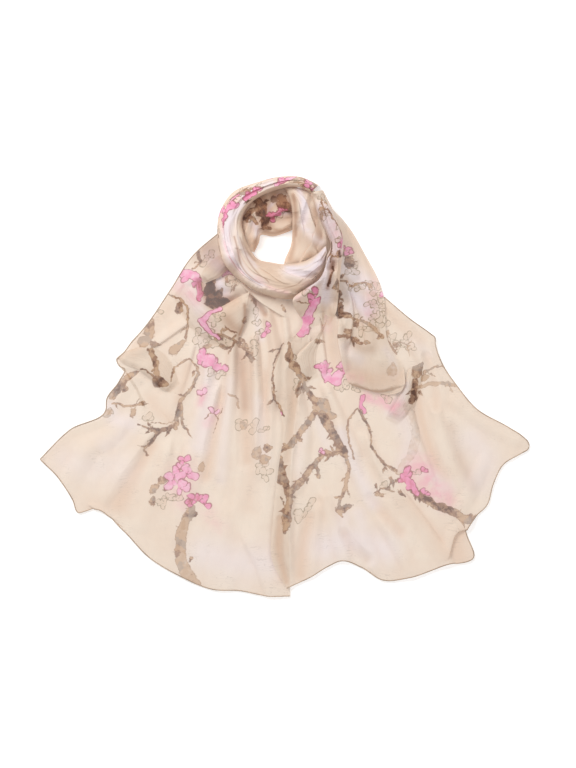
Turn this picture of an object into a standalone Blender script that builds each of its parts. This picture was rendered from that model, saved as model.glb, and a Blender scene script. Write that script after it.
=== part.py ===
"""A long sheer scarf, laid flat: wound once into a neck loop, with its two ends fanned out below it.

Metres, +Z up. The scarf lies on the plane z = 0, the loop at +Y and the two end hems at -Y, and the
origin is under the middle of its outline. Every stretch of the cloth that shows is a slab of its own: a
grid over the plane whose underside rests on what lies beneath it and whose top is one wall thickness
higher. A tail is a sheet between four edges. A stretch of the loop is a gathered roll between two edges,
whose hidden layers share one rounded solid.
"""

import bpy
import numpy as np
from mathutils import Vector
from mathutils.bvhtree import BVHTree

MM = 0.001
WALL = 1.8           # mm, thickness of a cloth wall
GAP = 0.5            # mm, between cloth and the cloth that it lies on
SEAM = 0.35          # mm, between a panel and its rolled hem
HEM_WIDTH = 2.4      # mm, a rolled hem's width
HEM_THICK = 2.0      # mm, a rolled hem's height
HIGH = 500.0         # mm, above everything, where the rays that look for support start
DOWN = Vector((0, 0, -1))
RAISE_ROUNDS = 200   # most passes that lift a slab's corners clear of what lies beneath
CLOSE_ENOUGH = 0.02  # mm, how far short of GAP a slab may stay
PARALLEL = 1e-9      # mm2, the turn between two edges under which they don't cross

# The cut: one strip of cloth, 500 mm wide and 1600 mm long.
# All points below are (x, y) in mm, seen from above.

# ---- the left tail, a sheet: from under the loop at its top to its end hem -------------------------
LEFT_TOP = [(-96, 226), (-79, 180), (-55, 153), (-19, 141), (36, 132)]
LEFT_OUTER = [(-96, 226), (-133, 194), (-169, 142), (-207, 88), (-246, 47), (-234, 25), (-250, -8),
              (-271, -37), (-322, -65), (-367, -109)]
LEFT_INNER = [(36, 132), (34, 60), (17, -30), (6, -170), (8, -314)]
LEFT_HEM = [(-367, -109), (-340, -136), (-310, -189), (-282, -182), (-244, -214), (-202, -257),
            (-157, -284), (-108, -304), (-67, -308), (8, -314)]

# ---- the right tail, a sheet over the left one -----------------------------------------------------
RIGHT_TOP = [(14, 130), (38, 146), (60, 164), (80, 168), (112, 152), (148, 134)]
RIGHT_INNER = [(14, 130), (27, 97), (-6, 52), (-19, -2), (-3, -53), (-10, -125), (-18, -200),
               (-19, -260), (2, -302)]
RIGHT_OUTER = [(148, 134), (187, 101), (222, 73), (234, 37), (259, -1), (285, -32), (340, -64),
               (367, -89)]
RIGHT_HEM = [(2, -302), (37, -290), (67, -268), (90, -260), (115, -271), (147, -290), (187, -286),
             (240, -268), (282, -257), (271, -211), (304, -175), (312, -146), (327, -116), (367, -89)]

# ---- the side of the wrap, a sheet over the right tail, ending in a soft hanging fold --------------
SIDE_BAND = [            # inner edge x, y, then outer edge x, y
    (48, 288, 62, 288),
    (63, 270, 78, 268),
    (74, 240, 98, 236),
    (78, 206, 122, 194),
    (79, 170, 140, 160),
    (78, 134, 149, 131),
    (80, 98, 152, 96),
    (82, 66, 164, 68),
    (84, 42, 176, 44),
    (89, 22, 179, 18),
    (98, 4, 168, -14),
    (110, -2, 150, -14),
]

# Folds of the sheets: soft ridges along three points, from the gather to the hem.
FOLD_COLUMNS = ("x0", "y0", "x1", "y1", "x2", "y2", "reach0", "reach2", "high0", "high2")
LEFT_FOLDS = [
    (-88, 184, -116, 150, -104, 118, 13, 14, 24, 17),      # the flap's rim, beside the pocket
    (-57, 146, -80, 130, -102, 116, 12, 14, 24, 17),       # the pocket's other rim
    (-110, 112, -150, -5, -255, -150, 20, 30, 15, 6),      # the flap's long ridge
    (-92, 100, -110, -20, -190, -190, 20, 28, 14, 5),
    (-66, 120, -84, -10, -112, -220, 15, 24, 15, 4),
    (-50, 130, -54, -20, -62, -180, 13, 22, 16, 5),
    (-30, 120, -24, -10, -34, -240, 15, 24, 15, 5),
    (0, 110, 8, 0, -4, -150, 14, 20, 10, 3),
    (-185, 100, -215, 20, -240, -40, 18, 26, 8, 5),
]
RIGHT_FOLDS = [
    (24, 110, -10, 0, -8, -180, 12, 14, 12, 8),            # the rolled inner edge
    (50, 130, 52, 10, 22, -210, 15, 22, 16, 7),
    (74, 130, 76, -10, 78, -200, 15, 26, 17, 6),
    (100, 0, 128, -130, 190, -260, 18, 26, 12, 5),
    (160, -20, 185, -150, 235, -240, 18, 24, 12, 6),
    (222, 62, 178, -10, 215, -130, 14, 24, 12, 8),
    (250, -20, 255, -90, 290, -150, 22, 28, 9, 5),
    (264, -206, 244, -232, 243, -262, 10, 12, 12, 10),     # the curl at the hem
]
SIDE_FOLDS = [
    (70, 262, 104, 200, 122, 120, 9, 16, 6, 9),
    (90, 190, 100, 120, 104, 60, 10, 18, 8, 8),
    (92, 28, 132, 18, 174, 8, 22, 20, 20, 15),             # the hanging fold
]

# ---- the rolls of the loop: outer edge, inner edge, and how high the roll stands -------------------
ROLL_COLUMNS = ("outer_x", "outer_y", "inner_x", "inner_y", "high")
BACK_ROLL = [            # low, round the far inside of the loop, from left to right
    (-72, 208, -46, 201, 6),
    (-68, 240, -40, 217, 16),
    (-56, 266, -36, 227, 19),
    (-30, 285, -20, 225, 16),
    (4, 291, -4, 230, 16),
    (24, 276, 10, 232, 10),
]
INNER_ROLL = [           # up the right inside of the loop, from its foot to the top
    (56, 170, 0, 178, 8),
    (61, 187, 0, 190, 18),
    (60, 212, 8, 212, 25),
    (54, 242, 11, 242, 27),
    (42, 273, 9, 272, 23),
    (24, 292, 3, 290, 14),
]
FRONT_ROLL = [           # over the top, down the left side, and across the front
    (52, 303, 42, 291, 13),
    (24, 314, 22, 294, 19),
    (-7, 313, -3, 290, 23),
    (-41, 302, -31, 280, 27),
    (-74, 288, -51, 268, 31),
    (-95, 261, -62, 250, 34),
    (-101, 223, -61, 227, 36),
    (-91, 184, -52, 205, 37),
    (-68, 158, -40, 191, 37),
    (-35, 139, -21, 186, 37),
    (0, 131, 3, 183, 36),
    (32, 137, 27, 186, 33),
    (54, 156, 45, 195, 25),
    (68, 186, 60, 209, 13),
]
STRAND_ROLL = [          # from the top down the right side, over the front roll's end, and out
    (56, 290, 34, 294, 10),
    (68, 268, 50, 272, 16),
    (82, 232, 61, 238, 18),
    (85, 192, 64, 198, 18),
    (85, 160, 55, 164, 17),
    (82, 128, 26, 134, 9),
]
# Folds along a roll: where across it (0 is its outer edge, 1 its inner) at either end, reach, height.
PLEAT_COLUMNS = ("across0", "across1", "reach", "high")
BACK_PLEATS = [(0.35, 0.6, 0.22, 5)]
INNER_PLEATS = [(0.75, 0.7, 0.16, 5), (0.3, 0.4, 0.2, 4)]
FRONT_PLEATS = [(0.2, 0.45, 0.15, 5), (0.55, 0.75, 0.14, 5), (0.8, 0.2, 0.14, 4)]
STRAND_PLEATS = [(0.3, 0.25, 0.2, 4), (0.7, 0.8, 0.2, 4)]

# Cells across and along each piece.
CELLS = {
    "tail_left": (34, 15),
    "tail_right": (34, 15),
    "wrap_side": (9, 21),
    "wrap_back": (6, 13),
    "wrap_inner": (8, 11),
    "wrap_front": (9, 30),
    "strand": (7, 15),
}
HEM_CELLS = 40
SELVEDGE_CELLS = 34

# Colour (linear RGB) of each piece, and the roughness of cloth and of hem.
COLOURS = {
    "tail_left": (0.86, 0.70, 0.54),
    "tail_right": (0.86, 0.70, 0.54),
    "wrap_side": (0.80, 0.66, 0.53),
    "wrap_back": (0.55, 0.42, 0.35),
    "wrap_inner": (0.80, 0.64, 0.53),
    "wrap_front": (0.84, 0.68, 0.57),
    "strand": (0.68, 0.56, 0.50),
    "hem_left": (0.45, 0.35, 0.27),
    "hem_right": (0.45, 0.35, 0.27),
    "selvedge_left": (0.58, 0.45, 0.34),
    "selvedge_right": (0.58, 0.45, 0.34),
}
CLOTH_ROUGH = 0.85
HEM_ROUGH = 0.75


def clear_scene():
    for obj in list(bpy.data.objects):
        bpy.data.objects.remove(obj)


def finish(name, roughness):
    """The piece's own Principled material."""
    made = bpy.data.materials.new(name)
    made.use_nodes = True
    shader = made.node_tree.nodes["Principled BSDF"]
    shader.inputs["Base Color"].default_value = (*COLOURS[name], 1)
    shader.inputs["Roughness"].default_value = roughness
    shader.inputs["Metallic"].default_value = 0
    return made


def curve(points, at):
    """The smooth curve through the points (Catmull-Rom, spaced by distance), read at fractions 0 to 1."""
    p = np.array(points, float)
    knots = np.concatenate([[0], np.cumsum(np.linalg.norm(np.diff(p[:, :2], axis=0), axis=1))])
    knots /= knots[-1]
    slopes = np.gradient(p, knots, axis=0)
    at = np.clip(np.asarray(at, float), 0, 1)
    k = np.clip(np.searchsorted(knots, at, side="right") - 1, 0, len(p) - 2)
    step = (knots[k + 1] - knots[k])[:, None]
    f = ((at - knots[k]) / (knots[k + 1] - knots[k]))[:, None]
    return (
        (2 * f**3 - 3 * f**2 + 1) * p[k]
        + (f**3 - 2 * f**2 + f) * step * slopes[k]
        + (3 * f**2 - 2 * f**3) * p[k + 1]
        + (f**3 - f**2) * step * slopes[k + 1]
    )


def sheet_plan(top, outer, inner, hem, cells):
    """A grid [along, across] of plan points between four edges that share their corners (a Coons patch).

    Across runs from the first edge (across 0) to the second (across 1), along from top to hem."""
    across, along = np.linspace(0, 1, cells[0] + 1), np.linspace(0, 1, cells[1] + 1)
    t, h = curve(top, across), curve(hem, across)
    a, b = curve(outer, along), curve(inner, along)
    s, f = across[None, :, None], along[:, None, None]
    corners = (1 - s) * (1 - f) * t[0] + s * (1 - f) * t[-1] + (1 - s) * f * h[0] + s * f * h[-1]
    return (1 - f) * t[None] + f * h[None] + (1 - s) * a[:, None] + s * b[:, None] - corners


def band_plan(rows, cells):
    """A grid [along, across] of plan points between the two edges of a band."""
    r = curve(rows, np.linspace(0, 1, cells[1] + 1))[:, None]
    across = np.linspace(0, 1, cells[0] + 1)[None, :, None]
    return (1 - across) * r[:, :, 0:2] + across * r[:, :, 2:4]


def roll_plan(rows, cells):
    """A grid [along, across] of plan points between a roll's outer and inner edges, the roll's height
    along it, and how far across it each point is."""
    r = curve(rows, np.linspace(0, 1, cells[1] + 1))
    across = np.linspace(0, 1, cells[0] + 1)
    # Points crowd towards the two edges, where the roll turns down.
    across = (0.5 - 0.5 * np.cos(np.pi * across))[None, :, None]
    plan = (1 - across) * r[:, None, 0:2] + across * r[:, None, 2:4]
    return plan, r[:, None, 4], np.broadcast_to(across[:, :, 0], plan.shape[:2])


def ridge(plan, fold):
    """How high one fold lifts each plan point: highest on its line, nothing beyond its reach."""
    f = dict(zip(FOLD_COLUMNS, fold))
    line = curve([(f["x0"], f["y0"]), (f["x1"], f["y1"]), (f["x2"], f["y2"])], np.linspace(0, 1, 25))
    off = np.linalg.norm(plan[:, :, None] - line[None, None], axis=3)
    nearest = off.argmin(axis=2)
    share = nearest / (len(line) - 1)
    reach = f["reach0"] + (f["reach2"] - f["reach0"]) * share
    high = f["high0"] + (f["high2"] - f["high0"]) * share
    inside = np.clip(1 - (off.min(axis=2) / reach) ** 2, 0, None)
    return high * inside**1.5


def folds_of(plan, folds):
    """The folds together: where two meet, the higher one leads and the lower adds a part."""
    lifts = np.array([ridge(plan, fold) for fold in folds])
    return np.sqrt((lifts**2).sum(axis=0))


def roll_height(high, across, along_share, pleats):
    """Height of a roll over its underside: a rounded back with raised pleats running along it."""
    back = high * np.sqrt(np.clip(1 - (2 * across - 1) ** 2, 0, 1))
    for pleat in pleats:
        p = dict(zip(PLEAT_COLUMNS, pleat))
        line = p["across0"] + (p["across1"] - p["across0"]) * along_share
        off = np.clip(1 - ((across - line) / p["reach"]) ** 2, 0, None)
        back = back + p["high"] * off**2 * np.minimum(1, high / 25)
    return back


def cross(u, v):
    return u[:, 0] * v[:, 1] - u[:, 1] * v[:, 0]


def grid_triangles(rows, columns):
    """Triangles of a grid of corners, as indices into its flattened corners."""
    i = np.arange(rows * columns).reshape(rows, columns)
    a, b, c, d = i[:-1, :-1].ravel(), i[:-1, 1:].ravel(), i[1:, 1:].ravel(), i[1:, :-1].ravel()
    return np.concatenate([np.stack([a, b, c], 1), np.stack([a, c, d], 1)])


class Stack:
    """The pieces laid so far, and what a new piece rests on."""

    def __init__(self):
        self.corners, self.triangles = np.zeros((0, 3)), np.zeros((0, 3), int)

    def add(self, corners, triangles):
        self.triangles = np.concatenate([self.triangles, triangles + len(self.corners)])
        self.corners = np.concatenate([self.corners, corners])

    def heights_under(self, points):
        """The top of the pieces laid so far at each plan point, and 0, the floor, where there is none."""
        if not len(self.triangles):
            return np.zeros(len(points))
        tree = BVHTree.FromPolygons(self.corners.tolist(), self.triangles.tolist())
        found = np.zeros(len(points))
        for i, (x, y) in enumerate(points):
            hit = tree.ray_cast(Vector((x, y, HIGH)), DOWN)[0]
            found[i] = 0 if hit is None else hit.z
        return found

    def lay(self, plan, rise):
        """Heights of a slab's underside: its own rise, or the pieces beneath and a gap, lifted at its
        corners until no triangle cuts into them."""
        flat = plan.reshape(-1, 2)
        under = self.heights_under(flat)
        z = np.where(under > 0, under + GAP, 0) + rise.ravel()
        if len(self.triangles):
            triangles = grid_triangles(*plan.shape[:2])
            held = [self.corners_inside(flat, triangles), self.edges_crossed(flat, edges_of(triangles))]
            owners, weights, need = (np.concatenate(part) for part in zip(*held))
            for _ in range(RAISE_ROUNDS):
                short = need + GAP - (weights * z[owners]).sum(axis=1)
                low = short > CLOSE_ENOUGH
                if not low.any():
                    break
                lift = np.zeros(len(z))
                pull = short[low] / (weights[low] ** 2).sum(axis=1)
                for k in range(3):
                    np.maximum.at(lift, owners[low, k], pull * weights[low, k])
                z = z + lift
        return z.reshape(plan.shape[:2])

    def corners_inside(self, flat, triangles):
        """Corners of the pieces beneath that fall inside a slab's triangles: each one's triangle, its
        place in it as weights, and its height."""
        level = np.column_stack([flat, np.zeros(len(flat))])
        tree = BVHTree.FromPolygons(level.tolist(), triangles.tolist())
        faces = [tree.ray_cast(Vector((x, y, HIGH)), DOWN)[2] for x, y, _ in self.corners]
        points = self.corners[[face is not None for face in faces]]
        owners = triangles[[face for face in faces if face is not None]].reshape(-1, 3)
        a, b, c = (flat[owners[:, k]] for k in range(3))
        p = points[:, :2]
        weights = np.stack([cross(b - p, c - p), cross(c - p, a - p), cross(a - p, b - p)], 1)
        return owners, weights / cross(b - a, c - a)[:, None], points[:, 2]

    def edges_crossed(self, flat, edges):
        """Places where a slab's edges cross those of the pieces beneath, in the same form."""
        lines = edges_of(self.triangles)
        start = self.corners[lines[:, 0]]
        run = self.corners[lines[:, 1]] - start
        owners, weights, need = [], [], []
        for i, j in edges:
            own = np.broadcast_to(flat[j] - flat[i], (len(run), 2))
            apart = start[:, :2] - flat[i]
            turn = cross(own, run)
            turn[np.abs(turn) < PARALLEL] = np.inf
            mine, theirs = cross(apart, run) / turn, cross(apart, own) / turn
            hit = (mine > 0) & (mine < 1) & (theirs > 0) & (theirs < 1)
            owners.append(np.tile((i, j, j), (hit.sum(), 1)))
            weights.append(np.stack([1 - mine[hit], mine[hit], 0 * mine[hit]], 1))
            need.append(start[hit, 2] + theirs[hit] * run[hit, 2])
        return np.concatenate(owners), np.concatenate(weights), np.concatenate(need)


def edges_of(triangles):
    """Every edge of the triangles once."""
    sides = np.concatenate([triangles[:, [0, 1]], triangles[:, [1, 2]], triangles[:, [2, 0]]])
    return np.unique(np.sort(sides, axis=1), axis=0)


def rim_of(rows, columns):
    """The grid's outline as corner indices, once round, the same way as its triangles turn."""
    i = np.arange(rows * columns).reshape(rows, columns)
    return np.concatenate([i[0, :-1], i[:-1, -1], i[-1, :0:-1], i[:0:-1, 0]])


def slab(name, roughness, plan, under, over, stack):
    """The closed solid between two heights over one plan grid, added to the scene and to the stack."""
    rows, columns = plan.shape[:2]
    flat = plan.reshape(-1, 2)
    low = np.column_stack([flat, under.ravel()])
    top = np.column_stack([flat, over.ravel()])
    faces = grid_triangles(rows, columns)
    a, b, c = (flat[faces[:, k]] for k in range(3))
    turn = cross(b - a, c - a).sum()
    if turn < 0:
        faces = faces[:, ::-1]
    rim = rim_of(rows, columns) if turn > 0 else rim_of(rows, columns)[::-1]
    after = np.roll(rim, -1)
    n = len(flat)
    sides = np.concatenate(
        [np.stack([rim, after, after + n], 1), np.stack([rim, after + n, rim + n], 1)]
    )
    solid = np.concatenate([faces[:, ::-1], faces + n, sides])
    mesh = bpy.data.meshes.new(name)
    mesh.from_pydata((np.concatenate([low, top]) * MM).tolist(), [], solid.tolist())
    mesh.update()
    mesh.materials.append(finish(name, roughness))
    mesh.shade_smooth()
    mesh.set_sharp_from_angle(angle=1.0)
    obj = bpy.data.objects.new(name, mesh)
    bpy.context.scene.collection.objects.link(obj)
    stack.add(top, faces)


def sheet(name, plan, folds, stack):
    """A flat stretch of cloth: a wall that follows its folds."""
    under = stack.lay(plan, folds_of(plan, folds))
    slab(name, CLOTH_ROUGH, plan, under, under + WALL, stack)


def roll(name, rows, pleats, stack):
    """A gathered stretch of the loop: one rounded solid with its pleats along it."""
    plan, high, across = roll_plan(rows, CELLS[name])
    under = stack.lay(plan, np.zeros(plan.shape[:2]))
    along = np.linspace(0, 1, plan.shape[0])[:, None]
    slab(name, CLOTH_ROUGH, plan, under, under + WALL + roll_height(high, across, along, pleats), stack)


def edge_strip(name, plan, edge, count, stack):
    """A rolled hem beside one edge of a sheet, made from the edge's own points moved out."""
    lines = {"hem": plan[-1], "outer": plan[:, 0], "inner": plan[:, -1]}
    beside = {"hem": plan[-2], "outer": plan[:, 1], "inner": plan[:, -2]}
    line = lines[edge]
    inwards = beside[edge] - line
    along = np.gradient(line, axis=0)
    out = np.stack([along[:, 1], -along[:, 0]], 1)
    out /= np.linalg.norm(out, axis=1)[:, None]
    out *= -np.sign(np.median((out * inwards).sum(axis=1)))
    # At a corner the offset lines would cross, so a strip's points are eased along it.
    out[1:-1] = (out[:-2] + 2 * out[1:-1] + out[2:]) / 4
    pick = np.unique(np.linspace(0, len(line) - 1, count + 1).round().astype(int))
    near = line[pick] + SEAM * out[pick]
    strip = np.stack([near, near + HEM_WIDTH * out[pick]], axis=1)
    under = stack.lay(strip, np.zeros(strip.shape[:2]))
    slab(name, HEM_ROUGH, strip, under, under + HEM_THICK, stack)


def main():
    clear_scene()
    stack = Stack()
    plan = sheet_plan(LEFT_TOP, LEFT_OUTER, LEFT_INNER, LEFT_HEM, CELLS["tail_left"])
    sheet("tail_left", plan, LEFT_FOLDS, stack)
    edge_strip("hem_left", plan, "hem", HEM_CELLS, stack)
    edge_strip("selvedge_left", plan, "outer", SELVEDGE_CELLS, stack)
    roll("wrap_back", BACK_ROLL, BACK_PLEATS, stack)
    roll("wrap_inner", INNER_ROLL, INNER_PLEATS, stack)
    roll("wrap_front", FRONT_ROLL, FRONT_PLEATS, stack)
    plan = sheet_plan(RIGHT_TOP, RIGHT_INNER, RIGHT_OUTER, RIGHT_HEM, CELLS["tail_right"])
    sheet("tail_right", plan, RIGHT_FOLDS, stack)
    edge_strip("hem_right", plan, "hem", HEM_CELLS, stack)
    edge_strip("selvedge_right", plan, "inner", SELVEDGE_CELLS, stack)
    sheet("wrap_side", band_plan(SIDE_BAND, CELLS["wrap_side"]), SIDE_FOLDS, stack)
    roll("strand", STRAND_ROLL, STRAND_PLEATS, stack)


main()
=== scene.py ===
"""A long sheer printed scarf, laid flat: a wound neck loop with its two ends fanned out below it.

All tables are in millimetres, on the plan: x to the right, y towards the loop, z up. The meshes are
made in metres. Each stretch of the cloth is a fine grid over the plan. It lies on what is beneath it,
rises in folds whose crests lean over, and carries the print as distances to listed shapes.
"""

import math

import bpy
import numpy as np
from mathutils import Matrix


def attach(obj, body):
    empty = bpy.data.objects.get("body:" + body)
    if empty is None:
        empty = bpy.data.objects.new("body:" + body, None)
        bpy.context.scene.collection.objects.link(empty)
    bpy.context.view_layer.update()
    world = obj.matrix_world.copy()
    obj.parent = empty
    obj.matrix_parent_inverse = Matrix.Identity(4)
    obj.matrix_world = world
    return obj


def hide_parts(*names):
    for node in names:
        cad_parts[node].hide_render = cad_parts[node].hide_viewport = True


MM = 0.001
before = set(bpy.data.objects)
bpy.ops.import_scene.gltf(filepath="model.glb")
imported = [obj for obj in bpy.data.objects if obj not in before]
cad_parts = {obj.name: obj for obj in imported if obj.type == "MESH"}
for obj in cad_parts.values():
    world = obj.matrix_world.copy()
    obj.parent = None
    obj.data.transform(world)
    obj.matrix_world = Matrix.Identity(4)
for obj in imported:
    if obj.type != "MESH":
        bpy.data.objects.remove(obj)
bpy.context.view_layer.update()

# ---- sizes -----------------------------------------------------------------------------------------
CLEAR = 1.0          # mm, between a stretch and the one that it lies on
HEM_ROUND = 0.8      # mm, radius of a rolled edge
CELL = 2.0           # mm, of the raster that keeps the height of what is laid
REACH_X, REACH_Y = 400, 350   # mm, the raster's half sides
HIGHEST = 60         # mm, more than anything laid reaches, so how far down the draped cloth can fall
END_GRID, SIDE_GRID, FLAP_GRID = (270, 286), (140, 280), (50, 130)   # points across and along
LINE_POINTS = 13     # along a stroke, fold or wash
FLAP_CREST = 0.22    # how far across a flap its crest is
FLAP_SINK = 1.4      # mm, how far a flap's root runs under the sheet
KNOT_Y, KNOT_TO_HEM = 160, 420   # mm, the knot's place, and how far it is from the hem

# ---- outlines --------------------------------------------------------------------------------------
LEFT_TOP = [(-98, 231), (-79, 180), (-55, 153), (-19, 141), (36, 132)]
LEFT_OUTER = [(-98, 231), (-137, 197), (-172, 144), (-209, 90), (-240, 56), (-252, 44), (-247, 30),
              (-241, 27), (-248, 8), (-267, -20), (-268, -34), (-322, -65), (-367, -109)]
LEFT_INNER = [(36, 132), (34, 60), (17, -30), (6, -170), (8, -314)]
LEFT_HEM = [(-367, -109), (-340, -136), (-318, -170), (-309, -189), (-300, -187), (-285, -182),
            (-244, -214), (-202, -257), (-157, -284), (-108, -304), (-67, -306), (-30, -313), (8, -314)]
RIGHT_TOP = [(14, 130), (38, 146), (60, 164), (80, 168), (112, 152), (148, 134)]
RIGHT_INNER = [(14, 130), (27, 97), (-6, 52), (-19, -2), (-3, -53), (-10, -125), (-18, -200),
               (-19, -260), (2, -302)]
RIGHT_OUTER = [(148, 134), (187, 101), (219, 78), (224, 74), (225, 64), (234, 37), (259, -1), (285, -32),
               (336, -62), (356, -75), (364, -83), (366, -89)]
RIGHT_HEM = [(2, -302), (37, -286), (67, -268), (84, -261), (115, -271), (147, -290), (187, -286),
             (240, -268), (282, -257), (271, -211), (304, -175), (312, -146), (327, -117), (356, -99),
             (364, -94), (366, -89)]
SIDE_BAND = [            # inner edge x, y, then outer edge x, y
    (46, 288, 56, 290),
    (60, 270, 73, 266),
    (72, 240, 97, 237),
    (78, 206, 122, 194),
    (79, 170, 140, 160),
    (78, 134, 148, 131),
    (80, 98, 150, 96),
    (81, 66, 153, 70),
    (84, 42, 164, 48),
    (90, 20, 178, 25),
    (98, 4, 174, -6),
    (110, -2, 154, -13),
]
ROLL_COLUMNS = ("outer_x", "outer_y", "inner_x", "inner_y", "high")
BACK_ROLL = [
    (-72, 208, -46, 201, 6),
    (-68, 240, -39, 216, 16),
    (-58, 270, -36, 227, 18),
    (-30, 294, -18, 225, 15),
    (6, 303, 0, 230, 15),
    (34, 290, 14, 236, 8),
]
INNER_ROLL = [
    (62, 170, -2, 178, 8),
    (70, 187, 0, 190, 18),
    (73, 212, 9, 212, 25),
    (68, 242, 11, 242, 26),
    (58, 272, 9, 272, 23),
    (44, 294, 0, 296, 14),
]
FRONT_ROLL = [
    (51, 302, 39, 288, 13),
    (23, 314, 20, 296, 19),
    (-9, 314, -6, 295, 23),
    (-44, 305, -34, 285, 27),
    (-78, 291, -54, 270, 31),
    (-97, 263, -64, 250, 34),
    (-101, 223, -61, 227, 36),
    (-91, 184, -52, 205, 37),
    (-68, 158, -40, 191, 37),
    (-35, 139, -21, 186, 37),
    (0, 131, 3, 183, 36),
    (32, 137, 27, 186, 33),
    (54, 156, 45, 195, 25),
    (66, 186, 60, 209, 13),
]
STRAND_ROLL = [
    (57, 291, 38, 286, 9),
    (70, 266, 44, 270, 14),
    (79, 242, 52, 246, 17),
    (84, 224, 62, 226, 18),
    (87, 206, 68, 208, 18),
    (85, 192, 62, 193, 17),
    (83, 176, 59, 176, 15),
    (81, 156, 49, 157, 12),
    (80, 142, 34, 147, 8),
    (79, 127, 12, 130, 3),
    (76, 110, 20, 108, -2),
    (66, 92, 38, 90, -8),
]

# ---- folds -----------------------------------------------------------------------------------------
# A ridge: its crest along three points, how far it reaches to the left and to the right of its run, how
# much wider it is at its end than at its start, its height at either end, and how far its crest leans
# over to the right (to the left where negative). A crest that leans over a short side hangs over it.
FOLD_COLUMNS = ("x0", "y0", "x1", "y1", "x2", "y2", "left", "right", "widen", "high0", "high2", "lean")
LEFT_FOLDS = [
    (-88, 190, -106, 178, -124, 168, 12, 22, 0, 12, 8, 0),       # the upper cloth over the pocket
    (-104, 148, -88, 154, -66, 150, 17, 15, 0, 9, 12, 0),        # the cloth puffed up in the pocket
    (-60, 140, -62, 116, -70, 80, 8, 24, 0, 9, 5, 0),            # the panel below it
    (-47, 141, -32, 129, -12, 116, 20, 5, 0, 14, 9, 5),
    (-78, 62, -82, -20, -96, -125, 13, 16, 0.6, 11, 4, 0),
    (-45, 62, -42, -20, -38, -125, 13, 12, 0.6, 11, 5, 0),
    (-30, 116, -16, 60, -20, -20, 14, 11, 0.3, 10, 7, 0),
    (-22, -20, -26, -100, -30, -200, 15, 13, 0.4, 7, 3, 0),
    (0, 100, 6, 40, 2, -40, 10, 10, 0.3, 7, 4, 0),
    (-60, -110, -70, -170, -86, -230, 18, 14, 0.3, 5, 2, 0),
    (-104, -16, -116, -80, -133, -142, 12, 20, 0.5, 8, 3, -2),
    (-142, 52, -151, 22, -165, -20, 10, 14, 0.2, 7, 3, -2),
    (-112, 34, -120, -13, -138, -84, 16, 16, 0.4, 7, 3, 0),
    (-208, -84, -232, -119, -262, -160, 12, 24, 0.3, 6, 3, -2),
    (-214, 21, -226, 10, -248, -18, 16, 5, 0, 4, 3, 2),
    (-250, 48, -203, 62, -154, 94, 14, 7, 0, 4, 7, 4),
    (-178, -100, -192, -150, -214, -200, 20, 16, 0.4, 6, 3, 0),
    (-146, -110, -150, -160, -160, -220, 18, 18, 0.4, 6, 3, 0),
    (-284, -181, -271, -187, -258, -195, 10, 3, 0, 3, 2, 2),
    (-300, -100, -318, -130, -330, -150, 22, 22, 0, 5, 3, 0),
    (-50, -240, -34, -270, -22, -304, 24, 14, 0.2, 5, 4, 2),
    (-90, -200, -96, -240, -100, -290, 26, 26, 0.2, 4, 2, 0),
    (-246, -60, -270, -80, -300, -90, 20, 22, 0.2, 4, 3, 0),
]
RIGHT_FOLDS = [
    (13, 130, 17, 106, 4, 82, 14, 4.5, 0, 8, 6, 4),              # the turned inner edge
    (46, 118, 51, 70, 56, 34, 9, 14, 0, 9, 6, -3),
    (74, 118, 84, 70, 88, 30, 7, 8, 0, 7, 4, 0),
    (180, -10, 192, -68, 214, -130, 12, 18, 0.4, 8, 4, -2),
    (82, -65, 100, -118, 128, -172, 14, 13, 0.3, 8, 4, 0),
    (60, -170, 75, -215, 87, -254, 15, 14, 0.2, 6, 5, 0),
    (50, -185, 44, -238, 40, -276, 12, 12, 0, 6, 3, 0),
    (180, -170, 203, -201, 243, -262, 11, 18, 0.2, 6, 6, -3),
    (278, -207, 254, -216, 243, -244, 5, 16, 0, 8, 6, -5),       # the curl at the hem
    (120, -80, 142, -125, 166, -156, 14, 14, 0.2, 8, 4, 0),
    (22, -20, 30, -80, 20, -145, 14, 15, 0.3, 7, 5, 0),
    (66, -10, 88, -60, 104, -94, 12, 15, 0.2, 7, 5, 0),
    (4, -150, 4, -200, 2, -262, 14, 13, 0.2, 6, 4, 0),
    (196, 55, 218, 18, 236, -16, 14, 14, 0.2, 8, 4, 0),
    (160, 118, 186, 84, 212, 52, 14, 14, 0, 6, 4, 0),
    (226, -40, 240, -90, 262, -140, 16, 18, 0.3, 7, 4, 0),
    (262, -26, 296, -52, 344, -76, 18, 18, 0, 5, 4, 0),
    (150, -208, 168, -236, 186, -276, 16, 14, 0, 6, 4, 0),
    (104, -196, 118, -232, 128, -262, 18, 14, 0, 5, 4, 0),
    (292, -120, 282, -146, 262, -180, 18, 14, 0, 5, 4, 0),
]
SIDE_FOLDS = [
    (86, 112, 82, 70, 88, 38, 12, 4, 0, 9, 8, 3),                # its inner edge
    (94, 38, 116, 56, 150, 34, 14, 22, 0, 4, 2, 0),              # the hanging lobe: its top
    (106, 6, 138, -3, 168, 4, 20, 7, 0, 8, 7, 2),                # and its lower edge
    (72, 262, 94, 206, 104, 146, 10, 12, 0.3, 5, 6, 3),
    (100, 228, 118, 178, 130, 132, 10, 10, 0.3, 4, 5, 0),
    (90, 150, 96, 110, 92, 72, 8, 10, 0, 6, 5, -4),
    (112, 130, 124, 96, 128, 70, 12, 12, 0, 6, 4, 3),
]
STRAND_FOLDS = [
    (61, 264, 70, 247, 84, 222, 2.5, 9, 0, 5, 5, -3),
    (66, 240, 74, 222, 80, 206, 3, 3, 0, 3, 2, 0),
    (66, 186, 58, 164, 34, 140, 6, 5, 0.4, 6, 2, 2),
    (78, 186, 77, 160, 68, 106, 4.5, 6, 0, 7, 0, 0),
    (62, 168, 58, 148, 52, 112, 5, 6, 0, 5, 0, 0),
]

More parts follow.
